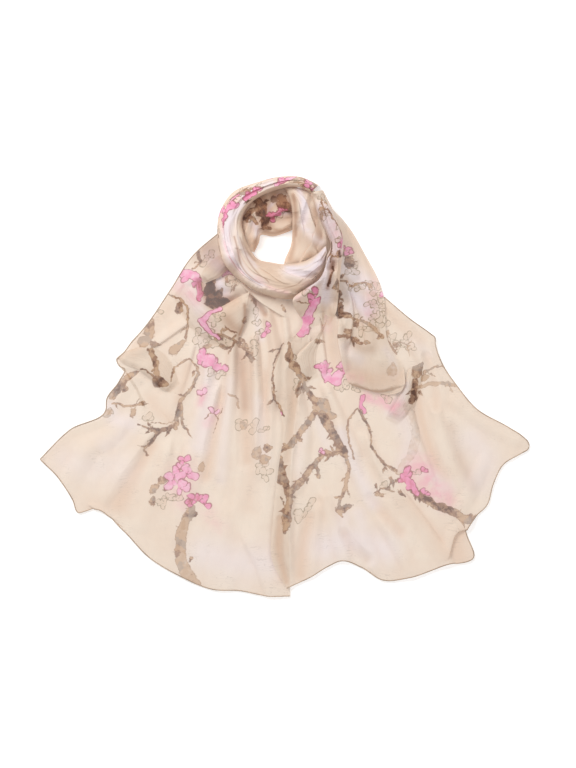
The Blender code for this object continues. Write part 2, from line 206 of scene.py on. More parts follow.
# A ridge along a roll: from and to are how far along the roll (0 to 1), share0 and share2 where across
# it (0 outer, 1 inner), outer and inner its reach to either side as shares of the roll's width.
ROLL_FOLD_COLUMNS = ("from", "to", "share0", "share2", "outer", "inner", "high", "lean")
FRONT_FOLDS = [
    (0.28, 0.82, 0.20, 0.22, 0.20, 0.07, 3.5, 2),
    (0.36, 0.72, 0.72, 0.27, 0.07, 0.16, 3.5, -3),
    (0.26, 0.77, 1.04, 0.46, 0.06, 0.15, 3.5, -3),
    (0.62, 0.81, 0.90, 0.42, 0.05, 0.12, 3, -2),
    (0.75, 0.93, 0.86, 0.10, 0.14, 0.06, 3, 2),
    (0.79, 1.00, 0.90, 0.78, 0.06, 0.14, 3.5, -3),
    (0.83, 0.99, 0.66, 0.50, 0.05, 0.13, 3, -2),
    (0.86, 1.00, 0.34, 0.30, 0.10, 0.06, 2, 1),
    (0.03, 0.37, 0.38, 0.56, 0.14, 0.06, 3.5, 2),
    (0.10, 0.32, 0.76, 0.80, 0.12, 0.05, 2.5, 2),
    (0.05, 0.24, 0.18, 0.24, 0.10, 0.10, 2, 0),
    (0.40, 0.60, 0.46, 0.44, 0.08, 0.08, 1.5, 0),
]
INNER_FOLDS = [
    (0.45, 1.00, 0.44, 0.70, 0.07, 0.14, 5, -3),
    (0.40, 0.98, 0.76, 0.88, 0.07, 0.08, 4, -2),
    (0.05, 0.62, 0.66, 0.30, 0.14, 0.08, 4, 3),
    (0.10, 0.45, 0.30, 0.62, 0.10, 0.12, 3, -2),
    (0.30, 0.90, 0.20, 0.18, 0.12, 0.10, 3, 0),
]
BACK_FOLDS = [
    (0.05, 0.60, 0.72, 0.80, 0.20, 0.08, 5, 3),
    (0.10, 0.50, 0.40, 0.44, 0.08, 0.16, 4, -3),
    (0.52, 0.98, 0.55, 0.50, 0.12, 0.06, 6, 3),
    (0.60, 0.98, 0.86, 0.84, 0.12, 0.06, 4, 2),
    (0.48, 0.56, 0.20, 0.60, 0.10, 0.10, 4, 0),
]

# Troughs: a line along three points, its width at either end, and how deep it cuts (0 to 1).
TROUGH_COLUMNS = ("x0", "y0", "x1", "y1", "x2", "y2", "wide0", "wide2", "deep")
LEFT_TROUGHS = [
    (-116, 152, -113, 140, -104, 124, 13, 12, 1.0),              # the pocket
    (-112, 124, -94, 122, -74, 130, 9, 9, 1.0),
    (-49, 136, -42, 125, -32, 110, 6, 8, 1.0),
    (-63, 62, -62, -20, -58, -112, 11, 15, 0.9),
    (-96, -13, -107, -65, -119, -134, 10, 14, 0.9),
    (-147, -20, -158, -66, -162, -98, 9, 10, 0.7),
    (-199, -88, -221, -122, -251, -178, 13, 22, 1.0),
    (-128, 20, -136, -20, -150, -70, 8, 8, 0.5),
    (-58, 112, -60, 92, -68, 74, 5, 5, 1.0),
    (-30, -40, -34, -110, -44, -180, 10, 14, 0.5),
    (-240, 22, -214, 16, -188, -8, 6, 6, 0.7),
    (-60, -120, -66, -170, -72, -220, 14, 18, 0.4),
]
RIGHT_TROUGHS = [
    (70, 100, 69, 62, 74, 24, 11, 11, 0.8),
    (195, 4, 209, -66, 246, -166, 10, 12, 0.9),
    (130, -170, 150, -193, 172, -216, 10, 12, 0.7),
    (90, -222, 104, -243, 122, -258, 10, 12, 0.8),
    (34, -196, 27, -238, 23, -282, 11, 12, 0.9),
    (-7, -200, -9, -246, 2, -292, 7, 8, 0.9),
    (8, 20, 12, -40, 2, -110, 9, 9, 0.7),
    (54, -40, 62, -90, 62, -150, 10, 12, 0.5),
    (112, -60, 128, -120, 150, -160, 8, 10, 0.5),
    (212, 44, 222, 10, 226, -30, 9, 9, 0.5),
    (266, -214, 258, -236, 256, -256, 14, 16, 0.5),
]
SIDE_TROUGHS = [(92, 30, 130, 24, 168, 16, 16, 16, 0.6), (84, 140, 88, 120, 84, 96, 6, 6, 0.6)]
STRAND_TROUGHS = [(71, 182, 67, 164, 63, 146, 4, 5, 1.0), (60, 250, 66, 236, 70, 214, 3, 3, 0.4)]

# Flaps: places where a sheet is folded over itself, as bands from the fold's edge to the line where it
# runs back into the sheet, and how high it stands there.
FLAP_COLUMNS = ("edge_x", "edge_y", "root_x", "root_y", "high")
PANEL_FLAP = [               # the pocket's near rim, then the panel's right edge
    (-152, 155, -168, 136, 0),
    (-143, 144, -158, 116, 3),
    (-130, 131, -145, 92, 6),
    (-116, 120, -128, 74, 8),
    (-105, 115, -108, 62, 9),
    (-94, 120, -90, 58, 9),
    (-72, 132, -74, 64, 9),
    (-53, 141, -65, 78, 10),
]
UPPER_FLAP = [
    (-77, 182, -95, 198, 9),
    (-88, 172, -110, 188, 9),
    (-98, 163, -119, 178, 7),
    (-110, 158, -124, 171, 4),
    (-121, 154, -128, 162, 0),
]
NICK_FLAP = [                # the upper cloth's edge at the outer nick
    (-252, 43, -240, 52, 1),
    (-238, 33, -216, 60, 4),
    (-218, 25, -196, 58, 5),
    (-200, 11, -176, 44, 6),
    (-186, -3, -164, 22, 5),
    (-172, -10, -158, 4, 0),
]
CORNER_FLAP = [              # the panel with a corner, beside the right tail's turned edge
    (58, 84, 64, 104, 0),
    (44, 72, 58, 86, 3),
    (30, 60, 52, 66, 4),
    (17, 43, 46, 48, 4),
    (22, 26, 46, 32, 3),
    (32, 6, 50, 14, 0),
]
BEYOND_FLAP = [              # the edge beyond the side lobe
    (184, 26, 208, 30, 2),
    (180, 8, 206, 8, 5),
    (171, -14, 200, -16, 5),
    (160, -33, 186, -40, 4),
    (150, -48, 168, -58, 0),
]

# ---- the print -------------------------------------------------------------------------------------
# Branches: a stroke along three points, its width at either end, its tone (0 tan, 1 dark), how many
# small twigs grow from it.
BRANCH_COLUMNS = ("x0", "y0", "x1", "y1", "x2", "y2", "wide0", "wide2", "tone", "twigs")
LEFT_BRANCHES = [
    (-174, 139, -158, 131, -146, 121, 3, 4, 0.6, 1),
    (-146, 121, -146, 100, -148, 72, 4, 4, 0.6, 1),
    (-202, 57, -195, 40, -192, 20, 7, 9, 0.5, 1),
    (-216, 28, -202, 20, -185, 0, 1.5, 4, 0.9, 0),
    (-260, -26, -236, -29, -214, -27, 3, 4, 0.5, 3),
    (-171, 8, -165, 28, -146, 42, 2, 3, 0.8, 0),
    (-146, 42, -132, 32, -128, 19, 3, 4, 0.7, 1),
    (-129, 19, -140, -2, -156, -20, 4, 6, 0.5, 1),
    (-156, -20, -161, -43, -163, -62, 7, 6, 0.7, 1),
    (-155, -28, -155, -52, -140, -76, 5, 2, 0.6, 1),
    (-163, -60, -188, -68, -203, -86, 6, 7, 0.9, 3),
    (-188, -66, -206, -62, -220, -58, 6, 2, 0.9, 2),
    (-202, -55, -182, -55, -164, -55, 1.4, 1.4, 0.6, 0),
    (-203, -84, -212, -94, -206, -104, 4, 3, 0.6, 1),
    (-123, -48, -111, -39, -99, -50, 1.4, 1.4, 0.8, 0),
    (-94, -31, -100, -50, -109, -70, 1.4, 1.4, 0.8, 0),
    (-140, -184, -154, -216, -157, -252, 13, 17, 0.35, 2),
    (-157, -250, -152, -272, -136, -297, 17, 20, 0.25, 1),
    (-102, 77, -82, 74, -66, 64, 3, 4, 0.8, 2),
    (-74, 76, -78, 62, -84, 50, 4, 2, 0.9, 1),
    (-70, 64, -58, 52, -50, 36, 4, 2, 0.7, 3),
    (-90, 92, -84, 84, -72, 80, 2, 2, 0.6, 1),
    (-85, -11, -73, -17, -69, -32, 3, 3, 0.25, 0),
    (-130, 214, -131, 200, -127, 188, 6, 5, 0.85, 0),
    (-127, 188, -132, 181, -140, 177, 3, 2, 0.9, 1),
    (-122, 220, -126, 214, -130, 206, 2, 3, 0.6, 0),
    (-3, 64, -15, 40, -18, 12, 2, 2, 1.0, 1),
    (-18, 12, -16, -16, -4, -42, 2, 3, 0.95, 2),
    (-244, -210, -262, -198, -280, -184, 2, 1.5, 0.2, 0),
]
RIGHT_BRANCHES = [
    (74, 130, 74, 120, 82, 106, 7, 11, 1.0, 1),
    (20, 90, 8, 77, -3, 64, 6, 3, 0.95, 1),
    (-3, 64, -17, 38, -17, 10, 2, 2, 1.0, 0),
    (-17, 10, -14, -20, -2, -44, 2.4, 4, 0.95, 2),
    (3, 68, 9, 55, 8, 38, 4, 8, 0.9, 1),
    (14, 30, 24, 14, 34, -6, 7, 6, 0.55, 3),
    (26, 8, 36, -8, 46, -25, 6, 9, 0.6, 2),
    (46, -40, 29, -61, 8, -88, 8, 10, 0.5, 4),
    (8, -88, -8, -96, -24, -92, 8, 6, 0.5, 3),
    (-15, -104, -4, -132, 4, -158, 18, 10, 0.75, 5),
    (5, -158, 7, -172, 1, -186, 9, 7, 0.8, 2),
    (4, -186, 3, -200, 0, -216, 12, 7, 0.45, 1),
    (-6, -164, -1, -178, 2, -190, 2, 3, 1.0, 0),
    (56, -42, 70, -66, 82, -88, 13, 13, 0.85, 4),
    (82, -98, 56, -104, 40, -121, 8, 7, 0.7, 5),
    (40, -121, 26, -140, 8, -158, 9, 10, 0.75, 5),
    (45, -115, 50, -126, 51, -136, 4, 5, 0.5, 1),
    (90, -100, 96, -125, 91, -148, 6, 6, 0.5, 2),
    (91, -148, 84, -167, 80, -182, 6, 4, 0.5, 3),
    (109, -32, 95, -52, 95, -68, 3, 3, 0.6, 0),
    (95, -68, 98, -88, 104, -108, 3, 2, 0.5, 0),
    (112, -36, 125, -58, 129, -88, 4, 3, 0.8, 1),
    (129, -88, 140, -108, 167, -125, 3, 4, 0.8, 1),
    (136, -100, 150, -116, 170, -132, 1.6, 2, 0.7, 1),
    (134, -160, 148, -153, 162, -158, 2, 3, 0.8, 3),
    (150, -154, 156, -148, 160, -138, 2, 2, 0.7, 1),
    (186, -150, 216, -173, 250, -188, 10, 13, 0.95, 3),
    (250, -188, 272, -197, 298, -200, 12, 9, 0.50, 1),
    (192, -4, 226, 4, 262, 2, 6, 5, 0.2, 1),
    (206, 20, 226, 29, 244, 28, 3, 3, 0.35, 1),
    (196, 8, 194, -6, 190, -22, 9, 8, 0.9, 2),
    (182, -30, 192, -54, 194, -80, 11, 14, -0.1, 0),
    (194, -80, 187, -103, 172, -128, 14, 10, -0.1, 0),
    (130, 84, 150, 68, 166, 50, 3, 4, 0.3, 3),
    (160, 62, 174, 66, 186, 62, 2, 2, 0.2, 2),
]
SIDE_BRANCHES = [
    (72, 158, 88, 155, 104, 150, 5, 3, 0.8, 3),
    (104, 150, 120, 156, 130, 148, 3, 2, 0.5, 2),
    (80, 140, 77, 122, 84, 106, 9, 12, 1.0, 4),
    (90, 103, 120, 98, 146, 72, 3, 5, 0.35, 3),
    (80, 76, 97, 74, 114, 64, 5, 6, 0.8, 2),
    (78, 100, 76, 78, 79, 52, 2, 3, 0.8, 0),
    (104, 5, 134, -5, 168, 2, 5, 6, -0.2, 0),
    (84, 196, 96, 192, 104, 182, 4, 6, 0.8, 2),
]
LOOP_BRANCHES = [
    (-114, 240, -118, 214, -108, 188, 4, 3, 0.6, 2),
    (-72, 304, -40, 322, -8, 330, 4, 3, 0.6, 3),
    (-84, 280, -62, 292, -38, 296, 3, 4, 0.6, 3),
    (22, 313, 38, 308, 52, 292, 5, 6, 0.6, 3),
    (12, 303, 26, 300, 40, 288, 2, 2, 0.6, 2),
    (-60, 270, -52, 280, -40, 286, 2, 2, 0.7, 1),
]
STRAND_BRANCHES = [
    (61, 262, 70, 246, 84, 222, 2.2, 2.2, 0.85, 0),
    (52, 276, 56, 262, 60, 252, 2, 2, 0.5, 2),
    (18, 127, 32, 125, 46, 131, 1.6, 1.6, 0.5, 1),
    (66, 194, 76, 190, 88, 192, 3, 3, 0.9, 1),
    (71, 178, 67, 163, 64, 149, 3, 3, 1.1, 0),
    (80, 156, 81, 148, 80, 140, 2, 3, 0.8, 1),
    (63, 212, 65, 202, 64, 192, 5, 4, 1.1, 0),
    (62, 190, 60, 184, 57, 178, 4, 2, 1.1, 0),
]
BACK_BRANCHES = [
    (-44, 282, -36, 270, -30, 254, 12, 12, 0.8, 2),
    (-30, 254, -34, 240, -30, 236, 8, 4, 0.9, 1),
    (-8, 284, -2, 276, 4, 264, 10, 12, 0.75, 1),
    (-52, 264, -50, 254, -44, 246, 6, 6, 0.7, 1),
]

# Leaves and soft blotches: centre, length, width, turn in degrees, tone.
LEAF_COLUMNS = ("x", "y", "long", "wide", "turn", "tone")
LEFT_LEAVES = [
    (-42, -98, 20, 14, 70, 0.2), (-30, -108, 18, 13, 20, 0.4), (-26, -92, 14, 11, 0, 0.5),
    (-159, 118, 20, 11, 75, 0.75), (-161, 59, 32, 14, 40, 0.4), (-180, 105, 36, 11, 14, -0.4),
    (-202, 88, 32, 15, 75, 0.55), (-210, 70, 22, 13, 40, 0.3), (-195, 66, 20, 8, -20, 0.8),
    (-186, 6, 26, 17, -20, 0.85), (-231, 16, 26, 11, 20, 0.6), (-246, 2, 30, 14, 50, 0.75),
    (-256, -10, 20, 8, 60, 0.5), (-221, 20, 12, 7, 20, 0.8), (-212, -26, 14, 7, 0, 0.7),
    (-226, -38, 16, 7, 70, 0.5), (-237, -4, 10, 10, 0, 0.9), (-184, -140, 14, 11, 0, 0.5),
    (-195, -152, 20, 10, 40, 0.4), (-198, -170, 15, 8, 70, 0.6), (-177, -152, 9, 6, 40, 0.7),
    (-127, -120, 14, 10, 80, 0.35), (-58, 60, 14, 8, -40, 0.6), (-52, 46, 16, 9, -60, 0.6),
    (-64, 70, 12, 7, -30, 0.6), (-60, -58, 14, 12, 10, 0.15), (0, 119, 12, 4, -60, 0.8),
    (-46, 126, 14, 5, -70, 0.9), (-60, 100, 12, 5, 80, 0.7),
    (-152, -206, 16, 7, 80, 0.6), (-140, -258, 8, 7, 0, 0.8), (-160, -240, 18, 6, 80, 0.6),
    (-134, 236, 14, 8, 10, 0.2), (-100, 72, 14, 7, -10, 0.7), (-92, 60, 15, 7, -30, 0.3),
    (-116, 60, 16, 8, 20, 0.2), (-266, -40, 16, 10, 30, 0.1), (-136, -190, 12, 10, 0, 0.7),
]
RIGHT_LEAVES = [
    (6, 47, 22, 13, 75, 0.85), (16, 28, 24, 13, -50, 0.5), (28, 14, 16, 9, -40, 0.6),
    (36, 14, 9, 5, 0, 0.8), (20, -4, 24, 8, 78, 0.4), (58, -34, 34, 24, -50, 0.3),
    (72, -44, 14, 12, 0, 0.35), (86, -96, 26, 16, -60, 1.0), (64, -100, 14, 9, 10, 0.8),
    (-28, -90, 22, 15, 40, 0.35), (-46, -110, 14, 18, 10, 0.2), (-30, -128, 28, 8, -30, 0.1),
    (-14, -112, 22, 14, 60, 0.8), (-6, -138, 18, 14, 70, 0.85), (2, -194, 40, 12, 84, 0.5),
    (90, -182, 24, 9, 30, 0.5), (82, -188, 16, 8, -60, 0.5), (28, -188, 24, 12, -60, -0.5),
    (160, -143, 16, 6, -76, 0.7), (174, -161, 16, 5, -50, 0.6), (143, -162, 16, 6, 0, 0.5),
    (198, 25, 26, 15, 60, 0.4), (210, 14, 14, 10, 20, 0.4), (194, -8, 22, 10, 80, 0.9),
    (190, -20, 13, 8, 30, 0.95), (28, -130, 20, 7, -80, -0.4), (6, 66, 24, 14, -60, -0.3),
    (18, 74, 24, 16, -60, -0.2), (52, 67, 16, 6, 0, 0.4), (220, -172, 22, 9, -30, 0.9),
    (240, -180, 20, 8, -30, 0.9), (204, -160, 16, 10, -30, 0.4), (152, 78, 14, 8, 60, 0.3),
    (166, 62, 12, 7, 0, 0.3), (120, -38, 6, 5, 0, 0.7),
]
SIDE_LEAVES = [
    (98, 186, 20, 14, 70, 0.75), (92, 200, 10, 7, 0, 0.7), (82, 116, 22, 15, 80, 0.95),
    (92, 106, 12, 9, 0, 0.8), (94, 83, 11, 8, 20, 0.9), (108, 95, 13, 8, 60, 0.5),
    (106, 70, 14, 9, 0, 0.8), (124, 66, 12, 8, 0, 0.3), (136, 84, 16, 10, -40, 0.0),
    (160, 26, 22, 14, 80, 0.05), (144, 74, 12, 8, 0, 0.3), (74, 150, 9, 7, 0, 0.9),
]
LOOP_LEAVES = [
    (-116, 200, 16, 8, 60, 0.5), (-52, 322, 16, 8, 20, 0.6),
    (-80, 276, 16, 8, 40, 0.7), (-62, 288, 14, 7, 10, 0.6), (34, 303, 16, 9, -40, 0.7),
    (44, 290, 12, 9, -60, 0.7), (-42, 291, 16, 7, 20, 0.5), (26, 294, 10, 8, 0, 0.5),
    (48, 280, 10, 7, 0, 0.4),
]
BACK_LEAVES = [
    (-54, 256, 24, 16, 60, 0.65), (-36, 266, 26, 18, 60, 0.85), (-28, 250, 20, 12, 60, 1.0),
    (-4, 276, 22, 14, 70, 0.85), (-28, 236, 18, 6, 0, 0.95), (-16, 280, 12, 10, 0, 0.7),
]
STRAND_LEAVES = [
    (52, 252, 13, 8, 60, 0.3), (80, 196, 12, 9, 80, 0.5), (76, 152, 16, 8, 80, 0.5), (54, 262, 10, 7, 0, 0.3),
]

# Blossoms: centre, petal length, turn, petals, depth of colour (0 palest, 1 deepest).
BLOOM_COLUMNS = ("x", "y", "long", "turn", "petals", "depth")
LEFT_BLOOMS = [
    (-145, 166, 14, 20, 4, 0.45), (-131, 156, 11, 60, 3, 0.7), (-128, 140, 10, -80, 2, 0.85),
    (-156, 168, 9, 0, 3, 0.35), (-122, 44, 13, 10, 4, 0.6), (-108, 34, 15, -30, 4, 0.4),
    (-96, 28, 12, 10, 3, 0.45), (-158, -124, 15, 30, 4, 0.4), (-168, -140, 15, 80, 4, 0.25),
    (-148, -130, 16, -20, 4, 0.3), (-160, -152, 17, -80, 3, 0.2), (-152, -112, 12, 60, 3, 0.6),
    (-136, -168, 13, 0, 4, 0.8), (-122, -176, 13, -10, 3, 0.65), (-140, -176, 11, 60, 3, 0.9),
    (-28, 90, 9, -70, 3, 0.4), (-27, 78, 8, 60, 3, 0.5), (-122, -12, 11, 70, 2, 0.1),
    (-108, -40, 13, 30, 2, 0.0),
]
RIGHT_BLOOMS = [
    (42, 124, 12, 30, 4, 0.75), (30, 100, 14, -20, 4, 0.45), (24, 84, 12, 10, 3, 0.4),
    (62, 24, 14, 20, 4, 0.35), (70, 12, 15, -30, 4, 0.3), (54, 28, 9, 40, 3, 0.7),
    (84, 26, 13, 10, 3, 0.35), (-13, -43, 8, 20, 4, 0.35), (182, -132, 11, 10, 4, 0.85),
    (190, -146, 10, 70, 4, 0.9), (178, -140, 8, 40, 3, 0.95), (204, -128, 10, 10, 2, 0.8),
    (192, -156, 9, -30, 3, 0.75), (54, -100, 7, 0, 3, 0.3), (210, -160, 9, -20, 3, 0.6),
]
SIDE_BLOOMS = [(92, 203, 9, 20, 3, 0.7), (98, 198, 8, 60, 3, 0.6), (147, 134, 8, 80, 2, 0.3)]
LOOP_BLOOMS = [
    (-108, 266, 12, 20, 4, 0.5), (-28, 328, 12, 50, 4, 0.4), (12, 328, 10, 0, 3, 0.6),
    (-90, 258, 11, 60, 4, 0.6), (-80, 268, 9, 20, 3, 0.55), (-92, 244, 9, 80, 3, 0.75),
    (-52, 284, 10, 30, 3, 0.65), (-44, 290, 8, 50, 3, 0.6), (-2, 308, 11, 40, 3, 0.3),
    (34, 302, 10, 10, 4, 0.5), (42, 290, 8, 50, 3, 0.5),
]
BACK_BLOOMS = [(-16, 254, 11, 20, 4, 0.85), (-4, 262, 8, 60, 3, 0.6)]
STRAND_BLOOMS = [(80, 214, 8, -80, 3, 0.35), (42, 126, 12, 30, 4, 0.75), (46, 138, 8, 60, 3, 0.6)]

# Pink ribbons: petals seen edge on in the folds, as strokes like the branches.
RIBBON_COLUMNS = ("x0", "y0", "x1", "y1", "x2", "y2", "wide0", "wide2", "depth")
LEFT_RIBBONS = [
    (-96, 117, -110, 110, -124, 99, 6, 9, 0.35), (-125, 99, -114, 84, -100, 72, 9, 5, 0.35),
    (-158, 170, -146, 170, -134, 166, 10, 12, 0.3), (-129, 158, -128, 148, -126, 138, 8, 9, 0.7),
    (-126, 46, -112, 38, -98, 26, 12, 7, 0.4),
]
RIGHT_RIBBONS = [
    (46, 126, 36, 108, 24, 80, 12, 14, 0.4), (52, 34, 58, 18, 78, 8, 4, 12, 0.35),
    (116, -14, 114, -26, 118, -36, 7, 7, 0.85), (178, -134, 188, -146, 196, -158, 12, 8, 0.8),
    (60, 8, 74, 14, 96, 28, 3, 3, 0.5),
]
LOOP_RIBBONS = [
    (-94, 244, -88, 260, -72, 270, 9, 8, 0.6), (-58, 278, -48, 287, -36, 293, 8, 6, 0.55),
    (-12, 299, 0, 308, 14, 314, 6, 5, 0.3), (-88, 268, -80, 278, -70, 284, 4, 3, 0.4),
]
BACK_RIBBONS = [(-28, 256, -14, 258, 2, 264, 4, 5, 0.7)]
STRAND_RIBBONS = [(84, 226, 87, 216, 85, 206, 4, 4, 0.4), (46, 126, 36, 108, 24, 80, 12, 14, 0.4)]

# Blossoms and leaves that are only drawn round, in olive: centre, petal length, turn, petals.
DRAWN_COLUMNS = ("x", "y", "long", "turn", "petals")
LEFT_DRAWN = [
    (-36, -118, 12, 20, 4), (-26, -132, 12, 60, 4),
    (-112, 74, 13, 20, 4), (-100, 64, 13, -20, 4), (-128, 76, 13, 10, 5), (-118, 66, 10, 60, 4),
    (-104, 98, 12, 20, 4), (-96, 106, 10, 60, 3), (-42, 108, 9, 80, 3), (-40, 94, 9, 70, 3),
    (-38, 78, 9, 80, 3), (-44, 62, 9, 60, 3), (-54, 50, 12, -60, 3), (-60, -58, 14, 70, 3),
    (-44, -60, 13, 80, 3), (-30, -66, 9, 20, 3), (-176, -168, 11, 20, 4), (-186, -176, 9, 60, 4),
    (-162, -168, 9, 10, 3), (-113, 194, 10, 10, 3), (-119, 186, 9, 60, 3),
    (-88, 66, 14, 0, 3), (-190, 112, 12, 10, 3), (-206, -50, 12, 0, 3),
    (-94, 16, 9, 30, 3), (-264, -40, 9, 20, 3), (-108, 18, 9, 40, 3),
]
RIGHT_DRAWN = [
    (88, -2, 12, 10, 4), (100, 10, 11, 50, 3), (96, 26, 12, 30, 3), (28, -196, 16, 60, 3),
    (40, -180, 12, 70, 3), (10, 40, 10, 60, 3), (34, 126, 11, 20, 3), (26, 138, 10, 40, 3),
    (156, 72, 12, 40, 4), (172, 60, 11, 10, 4), (182, 72, 12, 70, 4), (188, 56, 10, 20, 3),
    (140, 96, 10, 0, 3), (150, 90, 9, 60, 3), (20, 4, 11, 80, 3), (-22, -18, 9, 80, 3),
    (-24, 30, 9, 60, 3), (196, -132, 9, 0, 3), (150, -152, 9, 20, 3), (-40, -112, 18, 60, 3),
    (-26, -126, 18, -40, 3), (104, -6, 9, 10, 3), (148, -18, 12, -20, 3),
]
SIDE_DRAWN = [
    (134, 146, 11, 20, 4), (144, 132, 10, 50, 4), (140, 116, 11, 0, 4), (134, 102, 10, 40, 4),
    (120, 84, 11, 10, 4), (112, 146, 9, 60, 3), (122, 152, 9, 20, 3), (96, 144, 8, 0, 3),
    (138, 90, 10, 30, 3), (104, 178, 10, -60, 3), (100, 168, 9, 20, 3), (146, 104, 9, 70, 3),
    (128, 122, 9, 30, 3), (106, 100, 9, 0, 3),
]
LOOP_DRAWN = [
    (-118, 228, 11, 0, 4), (-52, 312, 10, 20, 4),
    (-66, 290, 9, 10, 4), (14, 304, 9, 20, 3), (-88, 274, 9, 40, 3), (28, 300, 9, 60, 4),
    (-40, 296, 8, 0, 3),
]
BACK_DRAWN = [(-12, 252, 10, 20, 4), (-50, 246, 9, 60, 3)]
STRAND_DRAWN = [
    (56, 264, 10, 10, 4), (62, 250, 9, 50, 3), (52, 276, 8, 0, 3), (78, 232, 8, 30, 3), (80, 216, 8, 60, 3),
    (34, 136, 9, 20, 3),
]

# Washes: a soft stroke along three points, its width at either end, its strength, and its kind: pale
# lilac (L), pink (P), peach (O), which is mostly painted shade along the troughs and partly peach print, or the
# deep tone of several layers (D), which is also painted shade in creases, under the rolls and inside the loop.
WASH_COLUMNS = ("x0", "y0", "x1", "y1", "x2", "y2", "wide0", "wide2", "strength", "kind")
LEFT_WASHES = [
    (-150, 160, -140, 140, -128, 116, 24, 20, 0.5, "L"), (-128, 116, -120, 90, -124, 64, 22, 14, 0.3, "L"),
    (-112, 20, -118, -30, -128, -90, 22, 20, 0.5, "L"), (-82, 10, -90, -60, -96, -140, 12, 14, 0.3, "L"),
    (-262, -30, -256, -46, -232, -56, 16, 20, 0.5, "L"), (-240, -60, -250, -80, -270, -90, 18, 20, 0.3, "L"),
    (-42, 126, -42, 100, -36, 72, 8, 9, 0.5, "L"), (-40, -20, -36, -70, -30, -110, 14, 14, 0.3, "L"),
    (-150, -130, -160, -146, -150, -170, 26, 24, 0.5, "P"), (-160, 152, -148, 142, -132, 128, 14, 12, 0.6, "P"),
    (-120, -4, -124, -16, -126, -26, 9, 8, 0.9, "P"), (-104, -34, -110, -44, -118, -56, 10, 10, 0.6, "P"),
    (-120, -180, -110, -196, -96, -210, 20, 16, 0.3, "P"), (-20, -250, -40, -270, -60, -290, 20, 24, 0.2, "L"),
    (-124, 214, -110, 196, -94, 180, 34, 26, 0.75, "D"), (-112, 196, -104, 186, -96, 178, 16, 14, 0.8, "L"),
    (-70, 170, -50, 148, -14, 134, 4, 3, 1.0, "D"), (-88, 196, -84, 184, -76, 174, 5, 4, 0.9, "D"),
    (-120, -250, -70, -262, -20, -262, 40, 40, 0.5, "L"), (-250, -120, -300, -120, -330, -110, 40, 30, 0.3, "L"),
    (-120, 104, -112, 88, -100, 78, 10, 8, 0.5, "P"), (-68, 44, -64, 10, -60, -30, 13, 13, 0.5, "D"),
    (-200, -20, -190, -36, -170, -50, 16, 16, 0.7, "O"),
    (-180, 118, -196, 90, -226, 56, 22, 16, 0.5, "O"), (-170, 90, -176, 60, -190, 34, 18, 16, 0.4, "O"),
    (-76, 124, -84, 108, -78, 84, 22, 16, 0.8, "O"), (-86, 100, -78, 90, -66, 84, 12, 12, 0.5, "D"),
    (-62, 60, -60, -20, -56, -110, 12, 14, 1.0, "O"), (-146, 30, -152, 6, -162, -20, 11, 11, 0.9, "O"),
    (-96, -13, -107, -65, -119, -134, 10, 14, 1.0, "O"), (-200, -90, -222, -124, -250, -176, 14, 22, 1.0, "O"),
    (-20, 100, -14, 60, -10, 10, 12, 10, 0.9, "O"),
    (-48, 134, -40, 122, -30, 108, 6, 6, 0.8, "D"), (-238, -190, -268, -180, -290, -176, 12, 12, 0.4, "O"),
    (-50, -60, -50, -120, -56, -180, 14, 18, 0.5, "O"), (-30, 20, -26, -60, -30, -120, 8, 10, 0.6, "O"),
    (-4, -180, -14, -230, -4, -290, 10, 12, 0.6, "O"), (-60, 122, -60, 100, -68, 78, 4, 4, 0.8, "D"),
]
RIGHT_WASHES = [
    (40, 150, 34, 120, 24, 88, 20, 20, 0.4, "L"), (50, 130, 60, 110, 62, 90, 14, 12, 0.5, "P"),
    (70, 104, 69, 62, 74, 26, 10, 10, 0.8, "O"),
    (124, -16, 146, -22, 168, -32, 13, 16, 1.0, "P"), (180, 2, 172, -20, 158, -40, 10, 12, 0.5, "L"),
    (172, -44, 186, -80, 180, -124, 20, 20, 0.4, "L"), (200, -122, 216, -146, 240, -170, 30, 22, 1.0, "P"),
    (206, -128, 220, -148, 238, -168, 20, 16, 1.0, "P"),
    (60, -240, 100, -230, 150, -244, 34, 34, 0.6, "L"), (280, -80, 300, -110, 290, -140, 30, 30, 0.4, "L"),
    (204, -128, 222, -136, 240, -152, 14, 20, 0.5, "L"), (84, -70, 104, -118, 132, -176, 16, 16, 0.5, "L"),
    (50, -50, 60, -80, 70, -100, 12, 12, 0.3, "L"), (88, -196, 80, -220, 66, -236, 20, 20, 0.4, "L"),
    (110, -190, 120, -226, 132, -262, 18, 16, 0.4, "L"), (34, -60, 20, -100, 24, -140, 12, 12, 0.2, "L"),
    (195, 0, 209, -66, 246, -166, 9, 12, 1.0, "O"), (34, -196, 27, -238, 23, -282, 12, 12, 1.0, "O"),
    (-7, -196, -9, -246, 2, -292, 8, 8, 1.0, "O"), (182, -172, 210, -206, 240, -256, 12, 14, 0.7, "O"),
    (130, -170, 150, -193, 172, -216, 10, 12, 0.6, "O"), (268, -212, 258, -232, 262, -256, 18, 20, 0.9, "O"),
    (8, 20, 12, -40, 2, -110, 9, 9, 0.6, "O"), (92, -222, 104, -243, 122, -258, 9, 10, 0.2, "D"),
    (150, 118, 176, 92, 200, 68, 14, 14, 0.6, "O"), (186, 66, 200, 60, 216, 50, 12, 12, 0.2, "L"),
    (214, 40, 222, 10, 226, -30, 9, 9, 0.5, "O"), (56, -170, 48, -200, 44, -240, 10, 10, 0.5, "O"),
    (248, -60, 262, -110, 282, -150, 14, 14, 0.3, "D"), (120, 20, 140, 0, 160, -20, 14, 14, 0.5, "O"),
]
